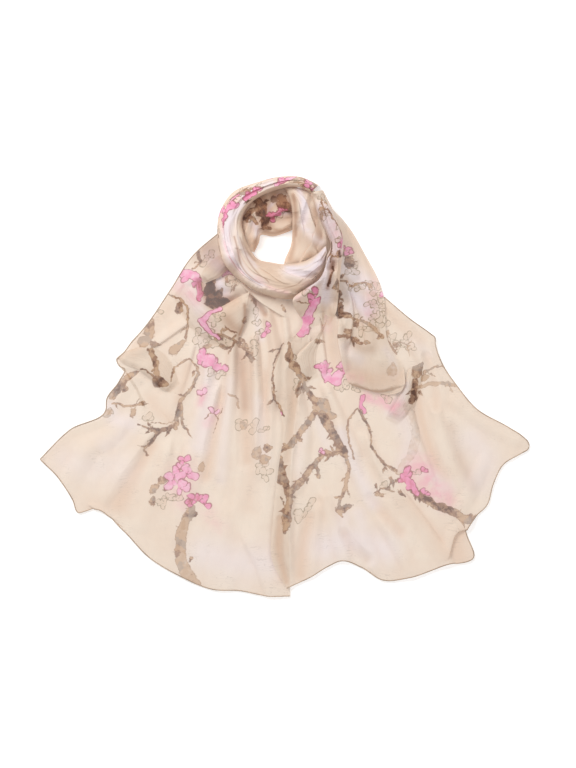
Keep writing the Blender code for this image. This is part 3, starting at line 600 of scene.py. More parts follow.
SIDE_WASHES = [
    (100, 140, 112, 128, 126, 116, 22, 20, 1.0, "L"), (90, 150, 100, 132, 96, 112, 14, 14, 0.5, "L"),
    (134, 150, 130, 130, 126, 108, 14, 14, 0.5, "P"), (100, 232, 118, 196, 134, 160, 16, 14, 0.8, "O"),
    (92, 176, 108, 164, 124, 150, 20, 18, 0.8, "L"), (150, 56, 160, 40, 162, 20, 9, 9, 0.3, "L"),
    (106, 14, 132, 4, 162, 8, 22, 20, 0.25, "D"), (110, 24, 134, 16, 158, 16, 26, 24, 0.4, "O"),
    (92, 60, 100, 48, 112, 40, 14, 14, 0.4, "L"), (104, 6, 130, -4, 164, 2, 6, 6, 0.3, "D"),
    (96, 74, 110, 60, 130, 56, 12, 12, 0.5, "D"), (90, 14, 100, 18, 112, 12, 10, 10, 0.5, "P"),
    (110, 96, 118, 80, 132, 72, 14, 14, 0.4, "O"),
]
FRONT_WASHES = [
    (-80, 254, -88, 222, -80, 190, 18, 22, 1.0, "L"), (-80, 194, -62, 168, -38, 148, 15, 12, 0.9, "L"),
    (-60, 272, -70, 260, -80, 244, 12, 12, 0.9, "L"), (-66, 228, -56, 200, -42, 180, 7, 7, 0.5, "L"),
    (-40, 158, -20, 142, 2, 136, 9, 8, 0.4, "P"), (-94, 214, -84, 186, -64, 164, 5, 5, 0.5, "P"),
    (-22, 166, -6, 152, 20, 144, 22, 16, 1.0, "O"), (-42, 192, -24, 172, -6, 164, 9, 14, 0.6, "O"),
    (-114, 240, -116, 212, -102, 178, 8, 8, 0.6, "O"), (-88, 178, -66, 154, -34, 138, 6, 6, 0.8, "O"),
    (6, 172, 32, 168, 54, 188, 14, 12, 1.0, "L"), (6, 182, 34, 182, 58, 204, 10, 10, 1.0, "L"),
    (28, 150, 42, 152, 56, 166, 6, 6, 0.25, "P"), (20, 134, 40, 140, 54, 154, 5, 5, 0.6, "D"),
    (-64, 284, -46, 292, -20, 302, 9, 9, 0.8, "L"), (-36, 290, -16, 296, 4, 300, 6, 6, 0.6, "O"),
    (-96, 254, -88, 268, -72, 282, 10, 9, 0.6, "P"), (-56, 214, -50, 202, -42, 192, 5, 5, 0.5, "D"),
    (-73, 222, -60, 176, -34, 150, 1.4, 1.4, 0.8, "D"), (-59, 222, -52, 188, -24, 154, 1.2, 1.4, 0.7, "D"),
    (-86, 190, -66, 161, -36, 142, 1.4, 1.4, 0.7, "D"), (-10, 142, 20, 152, 50, 180, 1.2, 1.2, 0.6, "D"),
    (-92, 262, -96, 246, -96, 228, 7, 6, 0.5, "P"), (26, 306, 38, 302, 50, 292, 8, 8, 0.6, "P"),
    (10, 300, 24, 298, 40, 290, 5, 5, 0.5, "D"),
]
INNER_WASHES = [
    (20, 292, 27, 270, 26, 244, 7, 11, 1.0, "L"), (26, 246, 26, 236, 34, 232, 10, 8, 0.7, "L"),
    (10, 284, 12, 252, 12, 226, 6, 8, 0.8, "D"), (24, 220, 38, 214, 54, 206, 18, 14, 0.4, "D"),
    (30, 236, 40, 224, 54, 214, 12, 10, 0.5, "L"),
    (44, 262, 48, 240, 54, 222, 9, 9, 0.7, "D"), (6, 200, 10, 188, 20, 180, 8, 8, 0.6, "O"),
    (8, 230, 10, 212, 6, 192, 8, 8, 0.5, "D"), (30, 196, 44, 194, 58, 204, 6, 6, 0.7, "O"),
]
# Its deep washes paint the shade inside the loop, where this roll lies low.
BACK_WASHES = [
    (-38, 284, -30, 264, -30, 244, 22, 22, 1.0, "D"), (-14, 284, -2, 274, 10, 264, 22, 20, 1.0, "D"),
    (-56, 262, -52, 250, -46, 240, 16, 14, 0.5, "D"), (-30, 258, -16, 252, 2, 254, 16, 12, 0.7, "D"),
    (-22, 258, -8, 258, 6, 262, 6, 7, 1.0, "L"), (-48, 244, -44, 238, -42, 228, 9, 9, 0.8, "L"),
    (-60, 250, -54, 230, -50, 212, 9, 9, 0.6, "O"), (-24, 236, -8, 238, 6, 248, 10, 10, 0.7, "O"),
    (-44, 220, -42, 210, -44, 206, 8, 6, 0.8, "D"), (-30, 230, -14, 228, 4, 234, 6, 5, 0.8, "D"),
    (-9, 287, -18, 274, -27, 261, 4, 4, 0.9, "L"),
]
STRAND_WASHES = [
    (54, 262, 66, 236, 76, 204, 18, 22, 1.0, "L"), (64, 188, 56, 166, 36, 148, 14, 14, 1.0, "L"),
    (58, 164, 60, 148, 60, 132, 15, 16, 0.9, "L"), (79, 186, 79, 160, 72, 112, 8, 12, 0.7, "O"),
    (72, 236, 80, 216, 84, 200, 8, 8, 0.5, "P"), (71, 184, 67, 164, 63, 146, 5, 5, 1.0, "D"),
    (54, 256, 64, 228, 74, 196, 20, 26, 0.45, "D"), (30, 146, 26, 138, 18, 132, 10, 8, 0.5, "P"),
    (66, 186, 58, 164, 40, 148, 16, 16, 0.25, "D"), (66, 198, 76, 194, 88, 194, 6, 6, 0.6, "D"),
]

# What shows of the layer inside the pocket, on the sheet below the flaps. Its dark leaves and deep washes are
# partly print and partly painted shade inside the pocket.
POCKET_BRANCHES = [
    (-78, 158, -80, 150, -82, 140, 1.4, 1.4, 0.6, 0),
]
POCKET_LEAVES = [
    (-112, 148, 34, 15, 80, 1.3), (-106, 132, 40, 18, 50, 1.3), (-94, 126, 28, 17, 15, 1.3),
    (-108, 158, 18, 8, 60, 0.9), (-85, 176, 9, 8, 40, 1.2),
    (-86, 160, 9, 5, 80, 0.6), (-76, 148, 12, 5, 60, 0.3),
]
POCKET_BLOOMS = [(-88, 168, 7, 10, 3, 0.3), (-68, 166, 8, -30, 3, 1.0)]
POCKET_RIBBONS = [(-92, 164, -84, 170, -76, 170, 4, 4, 0.2), (-76, 170, -66, 168, -58, 158, 6, 5, 1.0)]
POCKET_DRAWN = [(-80, 152, 11, 20, 3), (-68, 156, 9, 60, 3)]
POCKET_WASHES = [
    (-126, 154, -122, 140, -110, 124, 11, 11, 1.0, "D"), (-100, 158, -96, 148, -90, 141, 14, 12, 1.0, "L"),
    (-108, 146, -98, 132, -82, 130, 14, 14, 1.0, "D"), (-110, 160, -112, 148, -112, 136, 14, 14, 1.0, "D"),
    (-86, 160, -72, 158, -58, 150, 8, 8, 0.4, "D"),
    (-78, 138, -66, 140, -56, 146, 8, 8, 0.4, "D"),
]

# ---- curves, noise and fields ----------------------------------------------------------------------


def named(columns, row):
    return dict(zip(columns, row))


def between(start, end, far):
    """The value that runs evenly from start to end as far goes from 0 to 1."""
    return start + (end - start) * far


def heading(turn):
    """The direction at that angle, in radians."""
    return np.array([math.cos(turn), math.sin(turn)])


def curve(points, at):
    """The smooth curve through the points, spaced by distance, read at fractions from 0 to 1."""
    p = np.array(points, float)
    knots = np.concatenate([[0], np.cumsum(np.linalg.norm(np.diff(p[:, :2], axis=0), axis=1))])
    knots /= knots[-1]
    slopes = np.gradient(p, knots, axis=0)
    at = np.clip(np.asarray(at, float), 0, 1)
    k = np.clip(np.searchsorted(knots, at, side="right") - 1, 0, len(p) - 2)
    step = (knots[k + 1] - knots[k])[:, None]
    f = ((at - knots[k]) / (knots[k + 1] - knots[k]))[:, None]
    return (
        (2 * f**3 - 3 * f**2 + 1) * p[k]
        + (f**3 - 2 * f**2 + f) * step * slopes[k]
        + (3 * f**2 - 2 * f**3) * p[k + 1]
        + (f**3 - f**2) * step * slopes[k + 1]
    )


def sheet_plan(top, first, second, hem, across, along):
    """A grid [along, across] of plan points between four edges that share their corners."""
    s, f = np.linspace(0, 1, across), np.linspace(0, 1, along)
    t, h = curve(top, s), curve(hem, s)
    a, b = curve(first, f), curve(second, f)
    s, f = s[None, :, None], f[:, None, None]
    corners = (1 - s) * (1 - f) * t[0] + s * (1 - f) * t[-1] + (1 - s) * f * h[0] + s * f * h[-1]
    return (1 - f) * t[None] + f * h[None] + (1 - s) * a[:, None] + s * b[:, None] - corners


def band_plan(rows, across, along):
    """A grid [along, across] of plan points between a band's two edges, and each row's further columns."""
    r = curve(rows, np.linspace(0, 1, along))[:, None]
    s = np.linspace(0, 1, across)[None, :, None]
    return (1 - s) * r[:, :, 0:2] + s * r[:, :, 2:4], r[:, 0, 4:]


def noise(x, y, seed):
    """Smooth noise from -1 to 1, one wave to a unit of x and y."""
    dice = np.random.default_rng(seed).uniform(-1, 1, (64, 64))
    i, j = np.floor(x).astype(int), np.floor(y).astype(int)
    u, v = x - i, y - j
    u, v = u * u * (3 - 2 * u), v * v * (3 - 2 * v)
    i, j, k, m = i % 64, j % 64, (i + 1) % 64, (j + 1) % 64
    low = dice[i, j] * (1 - u) + dice[k, j] * u
    high = dice[i, m] * (1 - u) + dice[k, m] * u
    return low * (1 - v) + high * v


def blur(field, times):
    """The field softened, its border kept."""
    for _ in range(times):
        f = np.pad(field, 1, mode="edge")
        f = (f[:-2] + 2 * f[1:-1] + f[2:]) / 4
        field = (f[:, :-2] + 2 * f[:, 1:-1] + f[:, 2:]) / 4
    return field


def strokes_of(columns, rows):
    """Each row by column name, with its line through three points, its first six columns."""
    for row in rows:
        ends = np.reshape(row[:6], (3, 2))
        yield named(columns, row), curve(ends, np.linspace(0, 1, LINE_POINTS))


def near_line(points, line):
    """For each point: how far to the left of the line it is, how far past its ends, and where along it
    (0 to 1) the nearest place lies, with the line's direction there and the distance to it."""
    a, run = line[:-1], np.diff(line, axis=0)
    length = np.linalg.norm(run, axis=1)
    best = np.full(len(points), np.inf)
    along, nearest = np.zeros(len(points)), np.zeros(len(points), int)
    for k in range(len(a)):
        off = points - a[k]
        f = np.clip((off @ run[k]) / length[k] ** 2, 0, 1)
        d = np.linalg.norm(off - f[:, None] * run[k], axis=1)
        closer = d < best
        best[closer], nearest[closer] = d[closer], k
        along[closer] = (k + f[closer]) / len(a)
    way = (run / length[:, None])[nearest]
    start = a[nearest]
    off = points - start
    left = way[:, 0] * off[:, 1] - way[:, 1] * off[:, 0]
    past = np.sqrt(np.maximum(best**2 - left**2, 0))
    return left, past, along, way, best


def near(points, line, reach):
    """Which points are near enough to a line to matter."""
    low, high = line.min(0) - reach, line.max(0) + reach
    return np.flatnonzero(((points > low) & (points < high)).all(1))


def raise_folds(plan, folds, troughs, swell):
    """How high the folds lift each plan point, and how far their crests carry it sideways."""
    points = plan.reshape(-1, 2)
    square = swell.ravel() ** 2
    shift = np.zeros_like(points)
    cut = np.ones(len(points))
    for f, line in strokes_of(FOLD_COLUMNS, folds):
        wide = max(f["left"], f["right"])
        at = near(points, line, 2.2 * wide)
        if not len(at):
            continue
        left, past, along, way, _ = near_line(points[at], line)
        grow = 1 + f["widen"] * (along - 0.5)
        reach = np.where(left > 0, f["left"], f["right"]) * grow
        q = (left / reach) ** 2 + (past / (1.6 * wide)) ** 2
        bump = np.clip(1 - q, 0, None) ** 1.6
        high = between(f["high0"], f["high2"], along)
        square[at] += (high * bump) ** 2
        shift[at] += (f["lean"] * bump)[:, None] * np.stack([way[:, 1], -way[:, 0]], 1)
    for f, line in strokes_of(TROUGH_COLUMNS, troughs):
        wide = max(f["wide0"], f["wide2"])
        at = near(points, line, 1.6 * wide)
        if not len(at):
            continue
        left, past, along, _, _ = near_line(points[at], line)
        reach = between(f["wide0"], f["wide2"], along)
        q = (left / reach) ** 2 + (past / (1.2 * wide)) ** 2
        cut[at] *= 1 - 0.85 * f["deep"] * np.clip(1 - q, 0, None) ** 1.2
    return (np.sqrt(square) * cut).reshape(plan.shape[:2]), shift.reshape(plan.shape)


def roll_folds(plan, folds):
    """How high a roll's folds lift each plan point, and how far their crests carry it across."""
    far, share = np.meshgrid(np.linspace(0, 1, plan.shape[0]), np.linspace(0, 1, plan.shape[1]), indexing="ij")
    over = plan[:, -1:] - plan[:, :1]
    over = over / np.linalg.norm(over, axis=2)[..., None]
    square, lean = np.zeros_like(far), np.zeros_like(far)
    for row in folds:
        f = named(ROLL_FOLD_COLUMNS, row)
        way = (far - f["from"]) / (f["to"] - f["from"])
        inner = share - between(f["share0"], f["share2"], way) - 0.02 * np.sin(9 * way + f["high"])
        q = (inner / np.where(inner > 0, f["inner"], f["outer"])) ** 2
        bump = np.clip(1 - q, 0, None) ** 1.4 * np.clip(6 * way * (1 - way), 0, 1)
        square += (f["high"] * bump) ** 2
        lean += f["lean"] * bump
    return np.sqrt(square), lean[..., None] * over


class Heap:
    """The height of everything laid so far, on a raster over the plan."""

    def __init__(self):
        self.top = np.zeros((int(2 * REACH_Y / CELL), int(2 * REACH_X / CELL)))

    def place(self, plan):
        """The column and row of each plan point, with fractions."""
        return (plan[..., 0] + REACH_X) / CELL - 0.5, (plan[..., 1] + REACH_Y) / CELL - 0.5

    def add(self, plan, z):
        """Keeps the highest point of the stretch in each cell, and fills cells that fall between points."""
        c, r = self.place(plan)
        mine = np.zeros_like(self.top)
        c, r = np.rint(c).astype(int).ravel(), np.rint(r).astype(int).ravel()
        inside = (c >= 0) & (r >= 0) & (c < mine.shape[1]) & (r < mine.shape[0])
        np.maximum.at(mine, (r[inside], c[inside]), z.ravel()[inside])
        spread = np.maximum.reduce([np.roll(mine, (i, j), (0, 1)) for i in (-1, 0, 1) for j in (-1, 0, 1)])
        self.top = np.maximum(self.top, spread)

    def draped(self, slope, softness):
        """The surface that a cloth laid on the heap takes: it leaves each height at that slope."""
        field = self.top.copy()
        for _ in range(int(HIGHEST / (slope * CELL))):
            for i, j in ((0, 1), (0, -1), (1, 0), (-1, 0), (1, 1), (1, -1), (-1, 1), (-1, -1)):
                fall = slope * CELL * math.hypot(i, j)
                field = np.maximum(field, np.roll(field, (i, j), (0, 1)) - fall)
        return np.maximum(blur(field, softness), self.top)

    def read(self, field, plan):
        """The field's height at each plan point."""
        c, r = self.place(plan)
        c, r = np.clip(c, 0, field.shape[1] - 1.001), np.clip(r, 0, field.shape[0] - 1.001)
        i, j = np.floor(r).astype(int), np.floor(c).astype(int)
        u, v = r - i, c - j
        return (
            field[i, j] * (1 - u) * (1 - v)
            + field[i + 1, j] * u * (1 - v)
            + field[i, j + 1] * (1 - u) * v
            + field[i + 1, j + 1] * u * v
        )


# ---- the print's fields ----------------------------------------------------------------------------
FAR = 40.0           # mm, the distance kept where a motif is nowhere near


def grown(branches, seed):
    """The branches, wobbly, with small twigs that leave them to alternate sides, as strokes and leaves."""
    dice = np.random.default_rng(seed)
    strokes, leaves = [], []
    for b, line in strokes_of(BRANCH_COLUMNS, branches):
        wobble = dice.normal(0, 0.5, line.shape)
        wobble[[0, -1]] = 0
        strokes.append((line + wobble, b["wide0"] / 2, b["wide2"] / 2, b["tone"]))
        # Wide wood has a ragged bark: short spikes along both sides.
        length = np.linalg.norm(np.diff(line, axis=0), axis=1).sum()
        for spike in range(int(length / 9) if b["wide0"] > 3.5 and b["tone"] > 0 else 0):
            k = int(dice.integers(0, 12))
            run = line[k + 1] - line[k]
            turn = math.atan2(run[1], run[0]) + (1 if spike % 2 else -1) * math.radians(dice.uniform(35, 90))
            way = heading(turn)
            half = (b["wide0"] + (b["wide2"] - b["wide0"]) * k / 12) / 2
            size = half + dice.uniform(1.5, 4.5)
            strokes.append((np.array([line[k], line[k] + way * size]), half * 0.5, 0.15, b["tone"]))
        for twig in range(b["twigs"]):
            k = int(dice.integers(1, 11))
            run = line[k + 1] - line[k]
            turn = math.atan2(run[1], run[0]) + (1 if twig % 2 else -1) * math.radians(dice.uniform(30, 70))
            way = heading(turn)
            size = dice.uniform(4, 10)
            bend = np.array([-way[1], way[0]]) * dice.uniform(-2, 2)
            ends = [line[k], line[k] + way * size * 0.6 + bend, line[k] + way * size]
            wide = min(1.6, b["wide0"] / 3)
            strokes.append((curve(ends, np.linspace(0, 1, 5)), wide, 0.5, min(1, b["tone"] + 0.1)))
            if dice.random() < 0.5:
                tip = ends[2] + way * 3
                leaves.append((tip[0], tip[1], dice.uniform(7, 11), dice.uniform(3, 5),
                               math.degrees(turn), min(1, b["tone"] + dice.uniform(-0.2, 0.2))))
    return strokes, leaves


def stroke_field(points, strokes):
    """Signed distance to the nearest stroke (negative inside it), and its tone."""
    best = np.full(len(points), FAR)
    tone = np.zeros(len(points))
    for line, wide0, wide2, shade in strokes:
        at = near(points, line, max(wide0, wide2) + 6)
        if not len(at):
            continue
        _, _, along, _, d = near_line(points[at], line)
        d = d - between(wide0, wide2, along)
        closer = d < best[at]
        best[at[closer]] = d[closer]
        tone[at[closer]] = shade
    return best, tone


def leaf_field(points, leaves):
    """Signed distance to the nearest leaf, and its tone."""
    best = np.full(len(points), FAR)
    tone = np.zeros(len(points))
    for x, y, long, wide, turn, shade in leaves:
        off = points - (x, y)
        at = np.flatnonzero((np.abs(off) < long + 6).all(1))
        turn = math.radians(turn)
        u = off[at] @ (math.cos(turn), math.sin(turn))
        v = off[at] @ (-math.sin(turn), math.cos(turn))
        v = v + 0.12 * u * u / long
        a = long / 2
        b = wide / 2 * (1 - 0.4 * np.clip(u / a, -1, 1))
        d = (np.sqrt((u / a) ** 2 + (v / b) ** 2) - 1) * wide / 2
        closer = d < best[at]
        best[at[closer]] = d[closer]
        tone[at[closer]] = shade
    return best, tone


def petal_field(points, rows, columns):
    """Signed distance to the nearest blossom's outline, petal by petal, its depth of colour, and how
    far out from its middle a point is."""
    best = np.full(len(points), FAR)
    depth = np.zeros(len(points))
    out = np.ones(len(points))
    for row in rows:
        f = named(columns, row)
        size = f["long"]
        off = points - (f["x"], f["y"])
        at = np.flatnonzero((np.abs(off) < size * 1.4 + 4).all(1))
        for k in range(f["petals"]):
            # Petals of one blossom differ in length, and are seen a little from the side.
            spread = 360 / max(f["petals"], 5)
            turn = math.radians(f["turn"] + spread * k + 17 * math.sin(3.7 * k + f["x"]))
            reach = size * (0.9 + 0.25 * math.sin(2.1 * k + f["y"]))
            u = off[at] @ (math.cos(turn), math.sin(turn))
            v = off[at] @ (-math.sin(turn), math.cos(turn))
            a, b = reach / 2, reach * 0.36
            b = b * (1 + 0.35 * np.clip((u - a) / a, -1, 1))
            d = (np.sqrt(((u - a) / a) ** 2 + (v / b) ** 2) - 1) * reach * 0.36
            # Later petals lie over earlier ones, so their outlines cross them.
            over = (d < 0.5) | (d < best[at])
            best[at[over]] = d[over]
            out[at[over]] = np.clip(u[over] / reach, 0, 1)
            depth[at[over]] = f.get("depth", 0)
    return best, depth, out


def wash_field(points, washes, kind):
    """How strong a wash of one kind is at each point."""
    strength = np.zeros(len(points))
    for f, line in strokes_of(WASH_COLUMNS, [row for row in washes if row[-1] == kind]):
        at = near(points, line, max(f["wide0"], f["wide2"]) * 1.6)
        if not len(at):
            continue
        _, _, along, _, d = near_line(points[at], line)
        reach = between(f["wide0"], f["wide2"], along) * 0.5
        strength[at] = np.maximum(strength[at], f["strength"] * np.exp(-0.5 * (d / reach) ** 2))
    return strength


def printed(plan, branches, leaves, blooms, ribbons, drawn, washes, seed):
    """All the print's fields at the plan points, by attribute name. The shapes are drawn a little
    unevenly, as by hand."""
    points = plan.reshape(-1, 2)
    x, y = points.T
    uneven = np.stack([
        1.6 * noise(x / 9, y / 9, 71) + 0.7 * noise(x / 4, y / 4, 72),
        1.6 * noise(x / 9, y / 9, 73) + 0.7 * noise(x / 4, y / 4, 74),
    ], 1)
    drawn_at = points + uneven
    strokes, small = grown(branches, seed)
    wood, wood_tone = stroke_field(drawn_at, strokes)
    leaf, leaf_tone = leaf_field(drawn_at, leaves + small)
    crumpled = points + 1.3 * uneven
    bloom, depth, out = petal_field(crumpled, blooms, BLOOM_COLUMNS)
    ribbon_strokes = [
        (line, f["wide0"] / 2, f["wide2"] / 2, f["depth"]) for f, line in strokes_of(RIBBON_COLUMNS, ribbons)
    ]
    ribbon, ribbon_depth = stroke_field(crumpled, ribbon_strokes)
    closer = ribbon < bloom
    bloom[closer], depth[closer] = ribbon[closer], ribbon_depth[closer]
    line, _, _ = petal_field(crumpled, drawn, DRAWN_COLUMNS)
    return {
        "wood": wood,
        "wood_tone": wood_tone,
        "leaf": leaf,
        "leaf_tone": leaf_tone,
        "bloom": bloom,
        "bloom_depth": depth,
        "bloom_out": out,
        "drawn": line,
        "lilac": wash_field(points, washes, "L"),
        "pink": wash_field(points, washes, "P"),
        "peach": wash_field(points, washes, "O"),
        "deep": wash_field(points, washes, "D"),
    }


# ---- materials -------------------------------------------------------------------------------------


class Shader:
    """A material's node tree, with short ways to make its nodes."""

    def __init__(self, name):
        self.material = bpy.data.materials.new(name)
        self.material.use_nodes = True
        self.tree = self.material.node_tree
        self.tree.nodes.clear()

    def node(self, kind, **settings):
        made = self.tree.nodes.new(kind)
        for key, value in settings.items():
            setattr(made, key, value)
        return made

    def put(self, socket, value):
        if isinstance(value, bpy.types.NodeSocket):
            self.tree.links.new(value, socket)
        elif isinstance(value, tuple) and len(value) == 3 and socket.type == "RGBA":
            socket.default_value = (*value, 1)
        else:
            socket.default_value = value

    def math(self, operation, first, second=0.0):
        made = self.node("ShaderNodeMath", operation=operation)
        self.put(made.inputs[0], first)
        self.put(made.inputs[1], second)
        return made.outputs[0]

    def times(self, first, second):
        return self.math("MULTIPLY", first, second)

    def plus(self, first, second):
        return self.math("ADD", first, second)

    def minus(self, first, second):
        return self.math("SUBTRACT", first, second)

    def size(self, value):
        return self.math("ABSOLUTE", value)

    def step(self, value, low, high):
        """0 at low and 1 at high, with soft ends. low may be above high."""
        made = self.node("ShaderNodeMapRange", interpolation_type="SMOOTHSTEP")
        self.put(made.inputs["Value"], value)
        made.inputs["From Min"].default_value = min(low, high)
        made.inputs["From Max"].default_value = max(low, high)
        made.inputs["To Min"].default_value = 0 if low < high else 1
        made.inputs["To Max"].default_value = 1 if low < high else 0
        return made.outputs["Result"]

    def mix(self, share, first, second, blend="MIX"):
        made = self.node("ShaderNodeMix", data_type="RGBA", blend_type=blend)
        self.put(made.inputs[0], share)
        self.put(made.inputs[6], first)
        self.put(made.inputs[7], second)
        return made.outputs[2]

    def field(self, name, output="Fac"):
        return self.node("ShaderNodeAttribute", attribute_name=name).outputs[output]

    def noise(self, scale, detail=2.0, stretch=(1, 1, 1), rough=0.5):
        place = self.node("ShaderNodeMapping")
        self.put(place.inputs["Vector"], self.field("cloth", "Vector"))
        place.inputs["Scale"].default_value = stretch
        made = self.node("ShaderNodeTexNoise")
        self.put(made.inputs["Vector"], place.outputs[0])
        made.inputs["Scale"].default_value = scale
        made.inputs["Detail"].default_value = detail
        made.inputs["Roughness"].default_value = rough
        return made.outputs["Fac"]

    def finish(self, colour, **values):
        """Ends the material in a surface of that colour, with the values by input name."""
        body = self.node("ShaderNodeBsdfPrincipled")
        self.put(body.inputs["Base Color"], colour)
        for name, value in values.items():
            self.put(body.inputs[name.replace("_", " ")], value)
        out = self.node("ShaderNodeOutputMaterial")
        self.put(out.inputs["Surface"], body.outputs[0])
        return self.material


CREAM = (0.845, 0.715, 0.590)
LILAC = (0.860, 0.765, 0.795)
PINK_WASH = (0.850, 0.455, 0.500)
PEACH = (0.770, 0.565, 0.425)
# Painted shade tone for layered places in the shade.
DEEP_SHADE = (0.520, 0.350, 0.280)
# Painted shade tone for hollows.
HOLLOW_SHADE = (0.660, 0.430, 0.310)
TAN = (0.570, 0.370, 0.235)
BROWN = (0.320, 0.175, 0.108)
DARK = (0.125, 0.050, 0.028)
GREY = (0.330, 0.270, 0.235)
PETAL_PALE = (0.900, 0.520, 0.650)
PETAL_HOT = (0.850, 0.300, 0.480)
PETAL_DEEP = (0.580, 0.150, 0.190)
PETAL_LINE = (0.300, 0.080, 0.085)
OLIVE = (0.370, 0.280, 0.190)
THREAD_PALE = (0.60, 0.46, 0.35)
THREAD_BROWN = (0.40, 0.29, 0.21)
THREAD_DARK = (0.24, 0.17, 0.12)


def voile(name, alpha):
    """Sheer printed cloth, seen through as far as alpha says. Its colour also carries painted shade: deeper on
    steep sides, in hollows, along the troughs and where layers lie in the shade.
    """
    s = Shader(name)
    mottle = s.noise(70, 3)
    blots = s.noise(150, 2)
    fine = s.noise(420, 2)
    ragged = s.times(s.minus(s.noise(260, 3), 0.5), 4.0)
    broad = s.noise(14, 5, rough=0.6)
    patches = s.noise(48, 2)

    colour = s.mix(s.times(s.step(broad, 0.35, 0.7), 0.35), CREAM, PEACH)
    # The peach wash: mostly painted shade along the troughs, partly peach print.
    colour = s.mix(s.times(s.field("peach"), 0.85), colour, PEACH)
    # Steep places show more layers of thread, so their colour is deeper; the same tint also paints the shade on
    # the folds' sides.
    colour = s.mix(s.times(s.field("steep"), 0.65), colour, PEACH)
    colour = s.mix(s.times(s.field("lilac"), s.step(mottle, -0.2, 0.45)), colour, LILAC)
    colour = s.mix(s.times(s.field("pink"), s.step(mottle, 0.15, 0.7)), colour, PINK_WASH)
    # Painted shade: hollows between folds are tinted a warm dark tone, as where shade falls.
    colour = s.mix(s.times(s.field("hollow_shade"), 0.50), colour, HOLLOW_SHADE)
    # Faint grey pencil strokes in the plain parts.
    strokes = s.noise(150, 1, (0.35, 1.6, 1))
    hair = s.size(s.minus(strokes, 0.5))
    hair = s.times(s.step(hair, 0.025, 0.0), s.step(s.noise(22, 1), 0.50, 0.66))
    colour = s.mix(s.times(hair, 0.26), colour, GREY)

    # Motifs that are only drawn round.
    line = s.plus(s.field("drawn"), s.times(ragged, 0.3))
    ring = s.step(s.size(line), 0.85, 0.1)
    inside = s.step(line, 0.6, -1.5)
    colour = s.mix(s.times(inside, s.times(mottle, 0.45)), colour, TAN)
    colour = s.mix(s.times(ring, s.step(blots, 0.15, 0.60)), colour, OLIVE)

    # Leaves and blotches, then branches: watery tan to dark brown with grey patches, dark at the rim.
    for kind, reach in (("leaf", 1.1), ("wood", 0.8)):
        edge = s.plus(s.field(kind), s.times(ragged, reach))
        covered = s.step(edge, 0.7, -0.5)
        rim = s.times(s.step(edge, -1.7, -0.3), covered)
        tone = s.plus(s.field(kind + "_tone"), s.times(s.minus(mottle, 0.5), 3.4))
        tone = s.plus(tone, s.times(s.minus(blots, 0.5), 1.2))
        tone = s.plus(tone, s.times(s.minus(fine, 0.5), 0.5))
        shade = s.mix(s.step(tone, 0.45, 0.75), TAN, BROWN)
        shade = s.mix(s.step(tone, 0.90, 1.15), shade, DARK)
        patch = s.times(s.step(patches, 0.53, 0.58), s.step(s.field(kind + "_tone"), 1.0, 0.6))
        shade = s.mix(s.times(patch, 0.6), shade, GREY)
        shade = s.mix(s.times(rim, s.step(fine, 0.35, 0.65)), shade, BROWN)
        strength = s.times(s.step(s.field(kind + "_tone"), -1.3, 0.7), 0.94)
        strength = s.times(strength, s.step(s.plus(blots, s.field(kind + "_tone")), 0.0, 0.8))
        colour = s.mix(s.times(covered, strength), colour, shade)

    # Blossoms: pale at the petals' tips, deep towards the middle, with a thin dark outline.
    bloom = s.plus(s.field("bloom"), s.times(ragged, 0.45))
    covered = s.step(bloom, 0.5, -0.4)
    depth = s.minus(s.field("bloom_depth"), s.times(s.field("bloom_out"), 0.35))
    depth = s.plus(depth, s.times(s.minus(blots, 0.45), 1.3))
    petal = s.mix(s.step(depth, -0.2, 0.6), PETAL_PALE, PETAL_HOT)
    petal = s.mix(s.step(depth, 0.55, 1.2), petal, PETAL_DEEP)
    ring = s.times(s.step(s.size(bloom), 1.1, 0.1), s.step(mottle, 0.30, 0.5))
    colour = s.mix(s.times(covered, s.step(blots, 0.0, 0.4)), colour, petal)
    colour = s.mix(s.times(ring, 0.8), colour, PETAL_LINE)

    # Painted shade: where several layers lie together in the shade, everything is multiplied deeper.
    colour = s.mix(s.times(s.field("deep"), 0.85), colour, s.mix(1.0, colour, DEEP_SHADE, "MULTIPLY"))
    # The grain of the weave.
    grain = s.noise(1500, 1)
    colour = s.mix(0.10, colour, s.mix(grain, (0.3, 0.3, 0.3), (1.0, 1.0, 1.0)), "OVERLAY")

    bump = s.node("ShaderNodeBump")
    bump.inputs["Strength"].default_value = 0.35
    bump.inputs["Distance"].default_value = 0.0006
    s.put(bump.inputs["Height"], s.noise(300, 3, rough=0.6))

    return s.finish(
        colour, Roughness=0.75, Specular_IOR_Level=0.2, Sheen_Weight=0.08, Sheen_Roughness=0.5, Alpha=alpha,
        Normal=bump.outputs[0])


def thread():
    """The rolled edge's thread: grey-brown, wound round the edge."""
    s = Shader("rolled_edge")
    colour = s.mix(s.step(s.noise(40, 2), 0.35, 0.7), THREAD_PALE, THREAD_BROWN)
    colour = s.mix(s.times(s.step(s.noise(700, 1), 0.5, 0.7), 0.4), colour, THREAD_DARK)
    return s.finish(colour, Roughness=0.7)


def plain_floor():
    """A pale floor that glows a little, so that it stays white under the cloth."""
    return Shader("floor").finish(
        (0.93, 0.93, 0.93), Roughness=0.9, Emission_Color=(1, 1, 1), Emission_Strength=0.30)


# ---- building --------------------------------------------------------------------------------------


